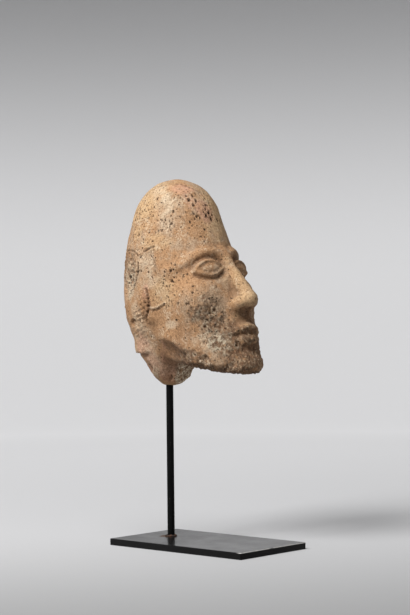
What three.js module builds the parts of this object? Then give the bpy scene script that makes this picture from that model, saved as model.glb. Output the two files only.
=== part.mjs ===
import * as THREE from "three";

// Lengths are millimetres. +Z is up, the face looks toward -Y, the origin is the middle of the plate's underside.

// Base plate
const PLATE_WIDTH = 91;
const PLATE_LENGTH = 162;
const PLATE_THICKNESS = 6.2;
const PLATE_BEVEL = 0.5;
const PLATE_CORNER = 1;

// Rod, welded near the plate's back end
const ROD_X = 2.7;
const ROD_Y = 47.4;
const ROD_RADIUS = 3.4;
const ROD_TOP = 205;

// Weld around the rod's foot
const WELD_INNER = 3.7;
const WELD_OUTER = 5.7;
const WELD_HEIGHT = 1.5;

// Head
const HEAD_MIDDLE = [2.5, 27.4, 237];
const HEAD_TILT = 20.5;
const FACE_SCALE = 1.05; // puts the chin as far below the eyes as the crown is above them
const JAW_SLOPE = 30;
const SKULL = { at: [2.5, 35.3, 257.3], radii: [46, 53, 83] };
const CROWN = { at: [2.5, 35.7, 299.8], radii: [37.4, 43.2, 41.8] };
const NAPE = { at: [2.5, 51, 222], radii: [38, 34, 47] };
const NECK = { at: [3, 46, 195], radii: [30.5, 32, 47] };
const SOCKET_RADIUS = 3.7;
const SOCKET_TOP = 205.3;

// Mesh of the head
const AROUND = 90;
const DOWN = 50;
const CORE_HEIGHT = 240;
const RELAX_ROUNDS = 4;

const radians = (degrees) => (degrees * Math.PI) / 180;
const cosTilt = Math.cos(radians(HEAD_TILT));
const sinTilt = Math.sin(radians(HEAD_TILT));

/** World point to the head's own scaled frame: x to its side, y to its back, z along its tilted height. */
function toHead([x, y, z]) {
  const [dx, dy, dz] = [x, y, z].map((value, k) => (value - HEAD_MIDDLE[k]) / FACE_SCALE);
  return [dx, cosTilt * dy - sinTilt * dz, sinTilt * dy + cosTilt * dz];
}

function turnX([x, y, z], degrees) {
  const [c, s] = [Math.cos(radians(degrees)), Math.sin(radians(degrees))];
  return [x, c * y - s * z, s * y + c * z];
}

function turnZ([x, y, z], degrees) {
  const [c, s] = [Math.cos(radians(degrees)), Math.sin(radians(degrees))];
  return [c * x - s * y, s * x + c * y, z];
}

const less = (a, b) => [a[0] - b[0], a[1] - b[1], a[2] - b[2]];
const dot = (a, b) => a[0] * b[0] + a[1] * b[1] + a[2] * b[2];

/** Near-distance to an ellipsoid, negative inside. */
function ellipsoid(point, at, radii, tip = 0) {
  let q = less(point, at);
  if (tip) q = turnX(q, tip);
  const k0 = Math.hypot(q[0] / radii[0], q[1] / radii[1], q[2] / radii[2]);
  const k1 = Math.hypot(q[0] / radii[0] ** 2, q[1] / radii[1] ** 2, q[2] / radii[2] ** 2);
  return (k0 * (k0 - 1)) / Math.max(k1, 1e-9);
}

/** Distance to a rod with round ends whose radius changes along it. */
function taper(point, from, to, radiusFrom, radiusTo) {
  const [q, d] = [less(point, from), less(to, from)];
  const t = Math.min(1, Math.max(0, dot(q, d) / dot(d, d)));
  return Math.hypot(q[0] - t * d[0], q[1] - t * d[1], q[2] - t * d[2]) - (radiusFrom + (radiusTo - radiusFrom) * t);
}

/** Distance to a plane, positive on the side its normal points to. */
function plane(point, through, normal) {
  return dot(less(point, through), normal) / Math.hypot(...normal);
}

/** Join of two forms, blended over a width. */
function join(a, b, blend) {
  const h = Math.max(blend - Math.abs(a - b), 0) / blend;
  return Math.min(a, b) - h * h * blend * 0.25;
}

/** What two forms share, blended over a width. */
const common = (a, b, blend) => -join(-a, -b, blend);

/** Roll of clay laid on a ground form, arched upward by rise, thinner at its two ends. */
function roll(point, ground, { x = 0, z, half, rise, thick, thin, lift = 0 }) {
  const t = Math.min(1, Math.max(-1, (point[0] - x) / half));
  const slope = (-2 * rise * t) / half;
  const dz = (point[2] - z - rise * (1 - t * t)) / Math.hypot(1, slope);
  const dx = Math.max(Math.abs(point[0] - x) - half, 0);
  const behind = Math.max(point[1] + 18, 0);
  const depth = ground - lift * (1 - t * t);
  return Math.hypot(dx, dz, depth, behind) - (thin + (thick - thin) * (1 - t * t));
}

/** Skull, nape and blunt crown, which stand upright. */
function skullForm(world) {
  const back = join(ellipsoid(world, SKULL.at, SKULL.radii), ellipsoid(world, NAPE.at, NAPE.radii), 16);
  return join(back, ellipsoid(world, CROWN.at, CROWN.radii), 5);
}

/** Neck, broken off below: a worn cone with five fracture faces. */
function neckForm(world) {
  let neck = ellipsoid(world, NECK.at, NECK.radii);
  neck = common(neck, plane(world, [21.6, 26.6, 171], [0.669, -0.743, -0.55]), 3);
  neck = common(neck, plane(world, [-14, 65.8, 170], [-0.669, 0.743, -0.74]), 4);
  neck = common(neck, plane(world, [17.6, 60.8, 170], [0.743, 0.669, -0.8]), 4);
  neck = common(neck, plane(world, [-0.7, 27, 159], [0.05, -0.8, -0.6]), 2);
  return common(neck, plane(world, [-15, 34.6, 165.5], [-0.743, -0.55, -0.8]), 6);
}

/** Hollow on each side of the neck, under the jaw's back corner. */
function neckHollow(world) {
  const aside = [Math.abs(world[0] - SKULL.at[0]), world[1], world[2]];
  return ellipsoid(aside, [44, 18, 170], [17, 34, 22], -17);
}

/** The head as one blended form, negative inside. */
function headForm(world) {
  const p = toHead(world);
  const m = [Math.abs(p[0]), p[1], p[2]];

  let face = ellipsoid(m, [0, -13, -24], [40, 46, 90]);
  face = join(face, taper(m, [22, 2, -50], [8, -42, -88], 12, 9), 16);
  face = join(face, ellipsoid(m, [0, -40, -62], [20, 16.5, 24]), 10);
  face = join(face, ellipsoid(m, [0, -47.5, -89], [12, 9.5, 10]), 9);
  face = join(face, ellipsoid(m, [27, -34, -20], [13, 13, 12]), 20);
  face = common(face, plane(p, [0, -50, -99], [0, Math.tan(radians(JAW_SLOPE)), -1]), 12);
  let form = join(skullForm(world) / FACE_SCALE, face, 14);
  form = join(form, neckForm(world) / FACE_SCALE, 7);
  form = common(form, -neckHollow(world) / FACE_SCALE, 3);

  // Spalled patch on the back of one side
  form = common(form, -ellipsoid(world, [-54, 58.5, 257], [16, 16, 40]) / FACE_SCALE, 2);

  // Eyes: a hollow under the brow, an almond pad, two lids
  const e = turnZ(less(m, [20, -51.5, 0.5]), -17);
  form = common(form, -ellipsoid(e, [0, -8.5, 2.5], [18.5, 10, 11.5]), 8);
  const ground = form;
  form = join(form, roll(m, ground, { x: 20.5, z: 9.5, half: 18.5, rise: 6.5, thick: 4.2, thin: 1.2, lift: -0.6 }), 6);
  const pad = ellipsoid(e, [0, 2.2, 0.2], [13.5, 6.6, 7.4]);
  const lidGround = join(ground, pad, 3);
  const lidPoint = [e[0], m[1], e[2]];

  // Nose
  let nose = taper(m, [0, -54, 14], [0, -69.5, -34], 4.4, 6.4);
  nose = join(nose, ellipsoid(m, [0, -68, -35], [8, 7, 6.5]), 5);
  nose = join(nose, ellipsoid(m, [7.6, -61, -35.5], [5.6, 8.5, 6]), 5);
  nose = common(nose, -p[2] - 42, 3);
  form = join(form, nose, 7);
  form = common(form, -ellipsoid(m, [4.8, -62.5, -43], [2.6, 4.4, 3.4]), 1.6);

  // Closed lips
  form = join(form, roll(m, ground, { z: -59, half: 16, rise: 2, thick: 4.6, thin: 1.6, lift: 0.2 }), 3);
  form = join(form, roll(m, ground, { z: -66, half: 14, rise: -1.5, thick: 4.8, thin: 1.6 }), 3);
  form = common(form, -roll(m, ground, { z: -62.6, half: 15.5, rise: 0.5, thick: 1.7, thin: 0.6, lift: 3.8 }), 1.6);

  form = join(form, pad, 1);
  form = join(form, roll(lidPoint, lidGround, { z: 0.2, half: 15, rise: 7.6, thick: 2, thin: 0.9, lift: 0.4 }), 1.8);
  form = join(form, roll(lidPoint, lidGround, { z: -0.2, half: 14.5, rise: -6.8, thick: 1.7, thin: 0.9, lift: 0.2 }), 1.8);

  // Low root of each broken ear
  form = join(form, ellipsoid(m, [38.6, 11, -11], [6, 7.5, 15], 6), 5);
  return form * FACE_SCALE;
}

/** Places between two ends, closer together around a centre. */
function spread(from, to, count, { centre, width, gain, closed }) {
  const steps = 4000;
  const total = [0];
  const weight = (s) => 1 + gain * Math.exp(-(((s - centre) / width) ** 2));
  for (let i = 0; i < steps; i++) {
    const s = from + ((to - from) * (i + 0.5)) / steps;
    total.push(total[i] + weight(s));
  }
  const places = [];
  let k = 0;
  for (let i = 0; i < count; i++) {
    const goal = (total[steps] * i) / (closed ? count : count - 1);
    while (k < steps - 1 && total[k + 1] < goal) k++;
    const part = Math.min(1, (goal - total[k]) / (total[k + 1] - total[k]));
    places.push(from + ((to - from) * (k + part)) / steps);
  }
  return places;
}

/** Point moved along the form's gradient onto its surface. */
function snap(point, rounds) {
  const h = 0.05;
  let p = point;
  for (let round = 0; round < rounds; round++) {
    const gradient = [0, 1, 2].map((k) => {
      const [a, b] = [[...p], [...p]];
      a[k] += h;
      b[k] -= h;
      return (headForm(a) - headForm(b)) / (2 * h);
    });
    const step = headForm(p) / Math.max(dot(gradient, gradient), 0.05);
    const length = Math.abs(step) * Math.hypot(...gradient);
    const scale = step * Math.min(1, 2 / Math.max(length, 1e-9));
    p = p.map((value, k) => value - gradient[k] * scale);
  }
  return p;
}

/** Outermost crossing of the form along a ray, found from outside. */
function strike(place, outer, inner, step) {
  let far = outer;
  let near = outer;
  while (near > inner && headForm(place(near)) >= 0) {
    far = near;
    near -= step;
  }
  for (let i = 0; i < 16; i++) {
    const middle = (near + far) / 2;
    if (headForm(place(middle)) < 0) near = middle;
    else far = middle;
  }
  return (near + far) / 2;
}

/** Rows of points from the crown down to the rim of the rod's socket. */
function headRows() {
  const azimuths = spread(-Math.PI, Math.PI, AROUND, { centre: 0, width: 0.5, gain: 4.5, closed: true });
  const polars = spread(0, Math.PI - 0.042, DOWN, { centre: 1.8, width: 0.45, gain: 2, closed: false });
  let rows = polars.slice(1, -1).map((t) =>
    azimuths.map((a) => {
      const d = [Math.sin(t) * Math.sin(a), -Math.sin(t) * Math.cos(a), Math.cos(t)];
      const place = (r) => [ROD_X + d[0] * r, ROD_Y + d[1] * r, CORE_HEIGHT + d[2] * r];
      return place(strike(place, 140, 8, 2));
    }),
  );
  const rim = azimuths.map((a) => {
    const place = (r) => [ROD_X + SOCKET_RADIUS * Math.sin(a), ROD_Y - SOCKET_RADIUS * Math.cos(a), CORE_HEIGHT - r];
    return place(strike(place, 120, 40, 1));
  });
  let crown = snap([ROD_X, ROD_Y, SKULL.at[2] + SKULL.radii[2]], 4);
  rows.push(rim);
  for (let round = 0; round < RELAX_ROUNDS; round++) {
    const old = rows;
    rows = old.map((row, i) =>
      i === old.length - 1
        ? row
        : row.map((p, j) => {
            const above = i === 0 ? crown : old[i - 1][j];
            const beside = [row[(j + 1) % AROUND], row[(j + AROUND - 1) % AROUND], old[i + 1][j], above];
            const mean = [0, 1, 2].map((k) => beside.reduce((sum, q) => sum + q[k], 0) / 4);
            return snap(p.map((value, k) => value + 0.6 * (mean[k] - value)), 1);
          }),
    );
    const first = rows[0];
    crown = [0, 1].map((k) => first.reduce((sum, q) => sum + q[k], 0) / AROUND).concat(crown[2]);
    crown = snap(crown, 2);
  }
  rows = rows.map((row, i) => (i === rows.length - 1 ? row : row.map((p) => snap(p, 3))));
  return { crown, rows };
}

/** True where a quad folds better along its second diagonal, the one whose middle lies nearer the form. */
function foldsAcross(a, b, c, d) {
  const middle = (p, q) => p.map((value, k) => (value + q[k]) / 2);
  return Math.abs(headForm(middle(b, d))) < Math.abs(headForm(middle(a, c)));
}

/** Closed mesh through rings of points, capped by one point before the first ring and one after the last. */
function skin(first, rings, last, name, material, crossed = () => false) {
  const around = rings[0].length;
  const points = [first, ...rings.flat(), last];
  const at = (i, j) => 1 + i * around + (j % around);
  const index = [];
  for (let j = 0; j < around; j++) index.push(0, at(0, j), at(0, j + 1));
  for (let i = 0; i < rings.length - 1; i++) {
    for (let j = 0; j < around; j++) {
      const [a, b, c, d] = [at(i, j), at(i + 1, j), at(i + 1, j + 1), at(i, j + 1)];
      if (crossed(points[a], points[b], points[c], points[d])) index.push(a, b, d, b, c, d);
      else index.push(a, b, c, a, c, d);
    }
  }
  for (let j = 0; j < around; j++) index.push(points.length - 1, at(rings.length - 1, j + 1), at(rings.length - 1, j));
  return meshOf(points, index, name, material);
}

function meshOf(points, index, name, material) {
  const geometry = new THREE.BufferGeometry();
  geometry.setAttribute("position", new THREE.Float32BufferAttribute(points.flat(), 3));
  geometry.setIndex(index);
  geometry.computeVertexNormals();
  const mesh = new THREE.Mesh(geometry, new THREE.MeshStandardMaterial(material));
  mesh.name = name;
  return mesh;
}

function terracottaHead() {
  const { crown, rows } = headRows();
  const roof = rows.at(-1).map(([x, y]) => [x, y, SOCKET_TOP]);
  const clay = { color: 0xb98c61, roughness: 0.9, metalness: 0 };
  return skin(crown, [...rows, roof], [ROD_X, ROD_Y, SOCKET_TOP], "terracotta_head", clay, foldsAcross);
}

/** Ring of a rectangle with round corners, counter-clockwise from above. */
function plateRing(inset, z) {
  const ring = [];
  const [w, l] = [PLATE_WIDTH / 2 - inset, PLATE_LENGTH / 2 - inset];
  const r = Math.max(PLATE_CORNER - inset, 0.2);
  const corners = [[w - r, l - r, 0], [r - w, l - r, 90], [r - w, r - l, 180], [w - r, r - l, 270]];
  for (const [cx, cy, start] of corners) {
    for (let k = 0; k <= 3; k++) {
      const a = radians(start + 30 * k);
      ring.push([cx + r * Math.cos(a), cy + r * Math.sin(a), z]);
    }
  }
  return ring;
}

function basePlate() {
  const rings = [
    plateRing(PLATE_BEVEL, PLATE_THICKNESS),
    plateRing(0, PLATE_THICKNESS - PLATE_BEVEL),
    plateRing(0, PLATE_BEVEL),
    plateRing(PLATE_BEVEL, 0),
  ];
  return skin([0, 0, PLATE_THICKNESS], rings, [0, 0, 0], "base_plate", { color: 0x1d1b1a, roughness: 0.35, metalness: 0.6 });
}

function mountRod() {
  const circle = (radius, z) =>
    Array.from({ length: 32 }, (_, j) => {
      const a = radians((360 * j) / 32);
      return [ROD_X + radius * Math.cos(a), ROD_Y + radius * Math.sin(a), z];
    });
  const rings = [circle(ROD_RADIUS - 0.4, ROD_TOP), circle(ROD_RADIUS, ROD_TOP - 0.4), circle(ROD_RADIUS, PLATE_THICKNESS)];
  return skin([ROD_X, ROD_Y, ROD_TOP], rings, [ROD_X, ROD_Y, PLATE_THICKNESS], "mount_rod", {
    color: 0x171615,
    roughness: 0.45,
    metalness: 0.6,
  });
}

/** Uneven ring of weld metal on the plate, clear of the rod. */
function weldBead() {
  const around = 36;
  const points = [];
  const index = [];
  for (let j = 0; j < around; j++) {
    const a = radians((360 * j) / around);
    const lump = 0.5 * Math.sin(3 * a + 0.7) + 0.3 * Math.sin(7 * a + 2.1) + 0.2 * Math.sin(11 * a);
    const outer = WELD_OUTER + 0.45 * lump;
    const height = WELD_HEIGHT * (1 + 0.22 * Math.sin(5 * a + 1.1));
    const profile = [
      [WELD_INNER, 0],
      [outer, 0],
      [WELD_INNER + 0.88 * (outer - WELD_INNER), 0.4 * height],
      [WELD_INNER + 0.62 * (outer - WELD_INNER), 0.8 * height],
      [WELD_INNER + 0.25 * (outer - WELD_INNER), height],
      [WELD_INNER, 0.85 * height],
    ];
    for (const [r, z] of profile) points.push([ROD_X + r * Math.cos(a), ROD_Y + r * Math.sin(a), PLATE_THICKNESS + z]);
    for (let k = 0; k < 6; k++) {
      const [p, q] = [j * 6 + k, j * 6 + ((k + 1) % 6)];
      const [r, s] = [((j + 1) % around) * 6 + ((k + 1) % 6), ((j + 1) % around) * 6 + k];
      index.push(p, s, r, p, r, q);
    }
  }
  return meshOf(points, index, "weld_bead", { color: 0x4a2e1e, roughness: 0.85, metalness: 0.3 });
}

const part = new THREE.Group();
part.name = "terracotta_head_on_stand";
part.add(terracottaHead(), mountRod(), basePlate(), weldBead());

export default part;
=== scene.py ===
"""Looks of a worn fired-clay head on a black steel rod and plate.

Shapes are worked out in millimetres and stored in metres. +Z is up and the face looks toward -Y.
"""

import logging
from dataclasses import dataclass, field
from enum import Enum
from math import cos, pi, radians, sin, tan

import bpy
import numpy as np
from mathutils import Matrix, Vector

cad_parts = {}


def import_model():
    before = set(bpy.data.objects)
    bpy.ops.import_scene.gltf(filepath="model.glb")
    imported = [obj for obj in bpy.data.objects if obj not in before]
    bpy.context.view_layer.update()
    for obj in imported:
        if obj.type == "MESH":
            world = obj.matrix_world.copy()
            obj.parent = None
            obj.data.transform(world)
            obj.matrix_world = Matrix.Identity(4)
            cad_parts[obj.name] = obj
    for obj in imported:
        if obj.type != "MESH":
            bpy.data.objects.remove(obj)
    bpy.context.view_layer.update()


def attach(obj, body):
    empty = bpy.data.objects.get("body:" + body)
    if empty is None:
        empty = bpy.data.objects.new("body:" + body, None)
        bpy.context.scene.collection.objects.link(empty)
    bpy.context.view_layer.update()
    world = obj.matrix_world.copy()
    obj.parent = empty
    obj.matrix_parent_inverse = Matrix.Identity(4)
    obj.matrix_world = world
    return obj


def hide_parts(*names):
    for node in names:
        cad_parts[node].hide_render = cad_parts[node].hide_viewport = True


MM = 0.001
LOG = logging.getLogger("clay_head")
Vec = tuple[float, float, float]
Pair = tuple[float, float]
Array = np.ndarray

# Shared by several pieces: the rod's axis, the plate's top, the radius of the head's socket.
ROD_AT: Pair = (2.7, 47.4)
PLATE_TOP = 6.2
BORE = 3.7


def turned(points: Array, axis: str, degrees: float) -> Array:
    """Points turned about one axis through the origin.

    Args:
        points: Array of shape (..., 3).
        axis: "x" or "z".
        degrees: Angle, by the right-hand rule.

    Returns:
        The turned points.
    """
    c, s = cos(radians(degrees)), sin(radians(degrees))
    x, y, z = points[..., 0], points[..., 1], points[..., 2]
    if axis == "x":
        return np.stack([x, c * y - s * z, s * y + c * z], -1)
    return np.stack([c * x - s * y, s * x + c * y, z], -1)


def ellipsoid(points: Array, at: Vec, radii: Vec, tip: float = 0.0) -> Array:
    """Near-distance to an ellipsoid: k0 (k0 - 1) / k1, with k0 = |q / r| and k1 = |q / r^2|.

    Args:
        points: Array of shape (..., 3).
        at: The centre.
        radii: Half sizes along x, y and z.
        tip: Turn about the x axis, in degrees.

    Returns:
        Distances, negative inside.
    """
    q = points - np.array(at)
    if tip:
        q = turned(q, "x", tip)
    r = np.array(radii)
    k0 = np.sqrt(((q / r) ** 2).sum(-1))
    k1 = np.sqrt(((q / (r * r)) ** 2).sum(-1))
    return k0 * (k0 - 1) / np.maximum(k1, 1e-9)


def taper(points: Array, start: Vec, end: Vec, radius_start: float, radius_end: float) -> Array:
    """Distance to a round-ended rod: |q - t d| - r(t), with t = clip(q.d / d.d, 0, 1) and r linear in t.

    Args:
        points: Array of shape (..., 3).
        start: One end of its axis.
        end: The other end of its axis.
        radius_start: Radius at the start.
        radius_end: Radius at the end.

    Returns:
        Distances, negative inside.
    """
    q, d = points - np.array(start), np.array(end) - np.array(start)
    t = np.clip((q @ d) / (d @ d), 0, 1)
    return np.sqrt(((q - t[..., None] * d) ** 2).sum(-1)) - (radius_start + (radius_end - radius_start) * t)


def plane(points: Array, through: Vec, normal: Vec) -> Array:
    """Distance to a plane, positive on the side that its normal points to: (p - through) . n / |n|."""
    n = np.array(normal, float)
    return (points - np.array(through)) @ (n / np.linalg.norm(n))


def join(a: Array, b: Array, blend: float) -> Array:
    """Smooth union: min(a, b) - h^2 blend / 4, with h = max(blend - |a - b|, 0) / blend."""
    h = np.maximum(blend - np.abs(a - b), 0) / blend
    return np.minimum(a, b) - h * h * blend * 0.25


def common(a: Array, b: Array, blend: float) -> Array:
    """Smooth intersection of two forms, as the smooth union of what lies outside them."""
    return -join(-a, -b, blend)


def smoothstep(x: Array, low: float, high: float) -> Array:
    """Zero below low, one above high, and 3 t^2 - 2 t^3 between them."""
    t = np.clip((x - low) / (high - low), 0, 1)
    return t * t * (3 - 2 * t)


@dataclass(frozen=True)
class ClayRoll:
    """A roll of clay laid on a ground form, arched by its rise and thinner at its two ends."""

    z: float
    half: float
    rise: float
    thick: float
    thin: float
    x: float = 0.0
    lift: float = 0.0

    def distance(self, points: Array, ground: Array) -> Array:
        """Distance to the roll's surface, with the ground's own distance as one of its coordinates.

        Its axis is z0 + rise (1 - t^2) for t = (x - x0) / half between -1 and 1.

        Args:
            points: Array of shape (..., 3).
            ground: Distance of each point from the ground form.

        Returns:
            Distances, negative inside.
        """
        t = np.clip((points[..., 0] - self.x) / self.half, -1, 1)
        bulge = 1 - t * t
        dz = (points[..., 2] - self.z - self.rise * bulge) / np.sqrt(1 + (2 * self.rise * t / self.half) ** 2)
        dx = np.maximum(np.abs(points[..., 0] - self.x) - self.half, 0)
        behind = np.maximum(points[..., 1] + 18, 0)
        depth = ground - self.lift * bulge
        return np.sqrt(dx**2 + dz**2 + depth**2 + behind**2) - (self.thin + (self.thick - self.thin) * bulge)


@dataclass
class HeadForm:
    """The head as one blended form, in millimetres: the same sizes as the solid it dresses."""

    middle: Vec = (2.5, 27.4, 237.0)
    tilt: float = 20.5
    face_scale: float = 1.05
    skull_at: Vec = (2.5, 35.3, 257.3)
    skull_radii: Vec = (46, 53, 83)
    crown_at: Vec = (2.5, 35.7, 299.8)
    crown_radii: Vec = (37.4, 43.2, 41.8)
    nape_at: Vec = (2.5, 51, 222)
    nape_radii: Vec = (38, 34, 47)
    neck_at: Vec = (3, 46, 195)
    neck_radii: Vec = (30.5, 32, 47)
    breaks: tuple[tuple[Vec, Vec, float], ...] = (
        ((21.6, 26.6, 171), (0.669, -0.743, -0.55), 3),
        ((-14, 65.8, 170), (-0.669, 0.743, -0.74), 4),
        ((17.6, 60.8, 170), (0.743, 0.669, -0.8), 4),
        ((-0.7, 27, 159), (0.05, -0.8, -0.6), 2),
        ((-15, 34.6, 165.5), (-0.743, -0.55, -0.8), 6),
    )
    hollow_at: Vec = (44, 18, 170)
    hollow_radii: Vec = (17, 34, 22)
    hollow_tip: float = -17.0
    spall_at: Vec = (-54, 58.5, 257)
    spall_radii: Vec = (16, 16, 40)
    jaw_at: Vec = (0, -50, -99)
    jaw_slope: float = 30.0
    brow: ClayRoll = ClayRoll(x=20.5, z=9.5, half=18.5, rise=6.5, thick=4.2, thin=1.2, lift=-0.6)
    upper_lip: ClayRoll = ClayRoll(z=-59, half=16, rise=2, thick=4.6, thin=1.6, lift=0.2)
    lower_lip: ClayRoll = ClayRoll(z=-66, half=14, rise=-1.5, thick=4.8, thin=1.6)
    mouth_line: ClayRoll = ClayRoll(z=-62.6, half=15.5, rise=0.5, thick=1.7, thin=0.6, lift=3.8)
    upper_lid: ClayRoll = ClayRoll(z=0.2, half=15, rise=7.6, thick=2, thin=0.9, lift=0.4)
    lower_lid: ClayRoll = ClayRoll(z=-0.2, half=14.5, rise=-6.8, thick=1.7, thin=0.9, lift=0.2)

    def to_head(self, world: Array) -> Array:
        """World points in the head's own scaled frame: x to its side, y to its back, z along its height."""
        return turned((world - np.array(self.middle)) / self.face_scale, "x", self.tilt)

    def skull(self, world: Array) -> Array:
        """Skull, nape and blunt crown, three upright ellipsoids joined."""
        nape = ellipsoid(world, self.nape_at, self.nape_radii)
        back = join(ellipsoid(world, self.skull_at, self.skull_radii), nape, 16)
        return join(back, ellipsoid(world, self.crown_at, self.crown_radii), 5)

    def neck(self, world: Array) -> Array:
        """Broken neck: an ellipsoid cut by five fracture planes, each with its own blend."""
        form = ellipsoid(world, self.neck_at, self.neck_radii)
        for through, normal, blend in self.breaks:
            form = common(form, plane(world, through, normal), blend)
        return form

    def neck_hollow(self, world: Array) -> Array:
        """Hollow on each side of the neck, under the jaw's back corner."""
        aside = world.copy()
        aside[..., 0] = np.abs(world[..., 0] - self.skull_at[0])
        return ellipsoid(aside, self.hollow_at, self.hollow_radii, self.hollow_tip)

    def spall(self, world: Array) -> Array:
        """Shallow patch flaked off the back of one side."""
        return ellipsoid(world, self.spall_at, self.spall_radii)

    def face(self, p: Array, m: Array) -> Array:
        """Face mass, jaw, muzzle, chin and cheekbones, cut flat under the jaw.

        Args:
            p: Points in the head's frame.
            m: The same points with x made positive.

        Returns:
            Distances, negative inside.
        """
        form = ellipsoid(m, (0, -13, -24), (40, 46, 90))
        form = join(form, taper(m, (22, 2, -50), (8, -42, -88), 12, 9), 16)
        form = join(form, ellipsoid(m, (0, -40, -62), (20, 16.5, 24)), 10)
        form = join(form, ellipsoid(m, (0, -47.5, -89), (12, 9.5, 10)), 9)
        form = join(form, ellipsoid(m, (27, -34, -20), (13, 13, 12)), 20)
        return common(form, self.under_jaw(p), 12)

    def under_jaw(self, p: Array) -> Array:
        """Distance to the plane that cuts the jaw off below, rising backwards at its slope."""
        return plane(p, self.jaw_at, (0, tan(radians(self.jaw_slope)), -1))

    def nose(self, p: Array, m: Array) -> Array:
        """Nose: a tapering ridge with a rounded tip and two wings, cut flat below."""
        form = taper(m, (0, -54, 14), (0, -69.5, -34), 4.4, 6.4)
        form = join(form, ellipsoid(m, (0, -68, -35), (8, 7, 6.5)), 5)
        form = join(form, ellipsoid(m, (7.6, -61, -35.5), (5.6, 8.5, 6)), 5)
        return common(form, -p[..., 2] - 42, 3)

    def value(self, world: Array) -> Array:
        """Distance of each point from the whole head, negative inside.

        Args:
            world: Array of shape (..., 3), in millimetres.

        Returns:
            Near-distances in millimetres.
        """
        p = self.to_head(world)
        m = p.copy()
        m[..., 0] = np.abs(m[..., 0])
        scale = self.face_scale
        form = join(self.skull(world) / scale, self.face(p, m), 14)
        form = join(form, self.neck(world) / scale, 7)
        form = common(form, -self.neck_hollow(world) / scale, 3)
        form = common(form, -self.spall(world) / scale, 2)
        eye = turned(m - np.array((20, -51.5, 0.5)), "z", -17)
        form = common(form, -ellipsoid(eye, (0, -8.5, 2.5), (18.5, 10, 11.5)), 8)
        ground = form
        form = join(form, self.brow.distance(m, ground), 6)
        pad = ellipsoid(eye, (0, 2.2, 0.2), (13.5, 6.6, 7.4))
        lid_ground = join(ground, pad, 3)
        lid_point = np.stack([eye[..., 0], m[..., 1], eye[..., 2]], -1)
        form = join(form, self.nose(p, m), 7)
        form = common(form, -ellipsoid(m, (4.8, -62.5, -43), (2.6, 4.4, 3.4)), 1.6)
        form = join(form, self.upper_lip.distance(m, ground), 3)
        form = join(form, self.lower_lip.distance(m, ground), 3)
        form = common(form, -self.mouth_line.distance(m, ground), 1.6)
        form = join(form, pad, 1)
        form = join(form, self.upper_lid.distance(lid_point, lid_ground), 1.8)
        form = join(form, self.lower_lid.distance(lid_point, lid_ground), 1.8)
        form = join(form, ellipsoid(m, (38.6, 11, -11), (6, 7.5, 15), 6), 5)
        return form * scale

    def slope(self, world: Array) -> tuple[Array, Array]:
        """Value and gradient from four samples at the corners of a small tetrahedron.

        Args:
            world: Array of shape (..., 3), in millimetres.

        Returns:
            The mean value of the four samples, and the gradient.
        """
        h = 0.06
        total, gradient = np.zeros(world.shape[:-1]), np.zeros(world.shape)
        for corner in ((1, -1, -1), (-1, -1, 1), (-1, 1, -1), (1, 1, 1)):
            k = np.array(corner, float)
            sample = self.value(world + k * h)
            total += sample / 4
            gradient += sample[..., None] * k / (4 * h)
        return total, gradient

    def snap(self, world: Array, rounds: int) -> Array:
        """Points moved along the gradient onto the surface, at most 2 mm at a time."""
        for _ in range(rounds):
            value, gradient = self.slope(world)
            step = gradient * (value / np.maximum((gradient**2).sum(-1), 0.05))[..., None]
            length = np.sqrt((step**2).sum(-1, keepdims=True))
            world = world - step * np.minimum(1, 2 / np.maximum(length, 1e-9))
        return world


class Noise:
    """Seeded gradient noise over space, with values from about -1 to 1."""

    ENTRIES = 256
    OCTAVE_SHIFT = 17.3
    HEIGHT = 1.5
    GRAIN_SHAKE = 0.42

    def __init__(self, seed: int) -> None:
        """Draws the lattice's table and directions."""
        rng = np.random.default_rng(seed)
        self.table = rng.permutation(self.ENTRIES)
        ways = rng.normal(size=(self.ENTRIES, 3))
        self.ways = ways / np.linalg.norm(ways, axis=1, keepdims=True)

    def __call__(self, points: Array, size: float, octaves: int = 1, gain: float = 0.5) -> Array:
        """Sum of octaves of lattice noise, each half the size of the last.

        Args:
            points: Array of shape (..., 3), in millimetres.
            size: Size of the largest features, in millimetres.
            octaves: How many layers are added.
            gain: Height of each layer against the one before it.

        Returns:
            One number per point.
        """
        result, height = np.zeros(points.shape[:-1]), 1.0
        for octave in range(octaves):
            result += height * self._layer(points * (2**octave / size) + self.OCTAVE_SHIFT * octave)
            height *= gain
        return result * self.HEIGHT

    def _layer(self, q: Array) -> Array:
        """One octave: the eight corners' direction dot offset, faded with 6 t^5 - 15 t^4 + 10 t^3."""
        base = np.floor(q).astype(int)
        t = q - base
        fade = t**3 * (t * (6 * t - 15) + 10)
        total = np.zeros(q.shape[:-1])
        for i in (0, 1):
            for j in (0, 1):
                for k in (0, 1):
                    corner = base + (i, j, k)
                    away = (self.ways[self._hash(corner)] * (t - (i, j, k))).sum(-1)
                    weight = np.prod(np.where((i, j, k), fade, 1 - fade), axis=-1)
                    total += weight * away
        return total

    def grains(self, points: Array, size: float) -> Array:
        """Distance to the nearest of one seeded point in each cubic cell, against the cell's size.

        Args:
            points: Array of shape (..., 3), in millimetres.
            size: Spacing of the grains, in millimetres.

        Returns:
            0 in the middle of a grain, about 1 at its edge.
        """
        q = points / size
        base = np.floor(q).astype(int)
        best = np.full(q.shape[:-1], np.inf)
        for shift in np.ndindex(3, 3, 3):
            corner = base + shift - 1
            seed = corner + 0.5 + self.GRAIN_SHAKE * self.ways[self._hash(corner)]
            best = np.minimum(best, ((q - seed) ** 2).sum(-1))
        return np.sqrt(best)

    def _hash(self, corner: Array) -> Array:
        """A table entry for each lattice corner, looked up once for each of its coordinates."""
        entry = 0
        for axis in range(3):
            entry = self.table[(corner[..., axis] + entry) % self.ENTRIES]
        return entry


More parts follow.
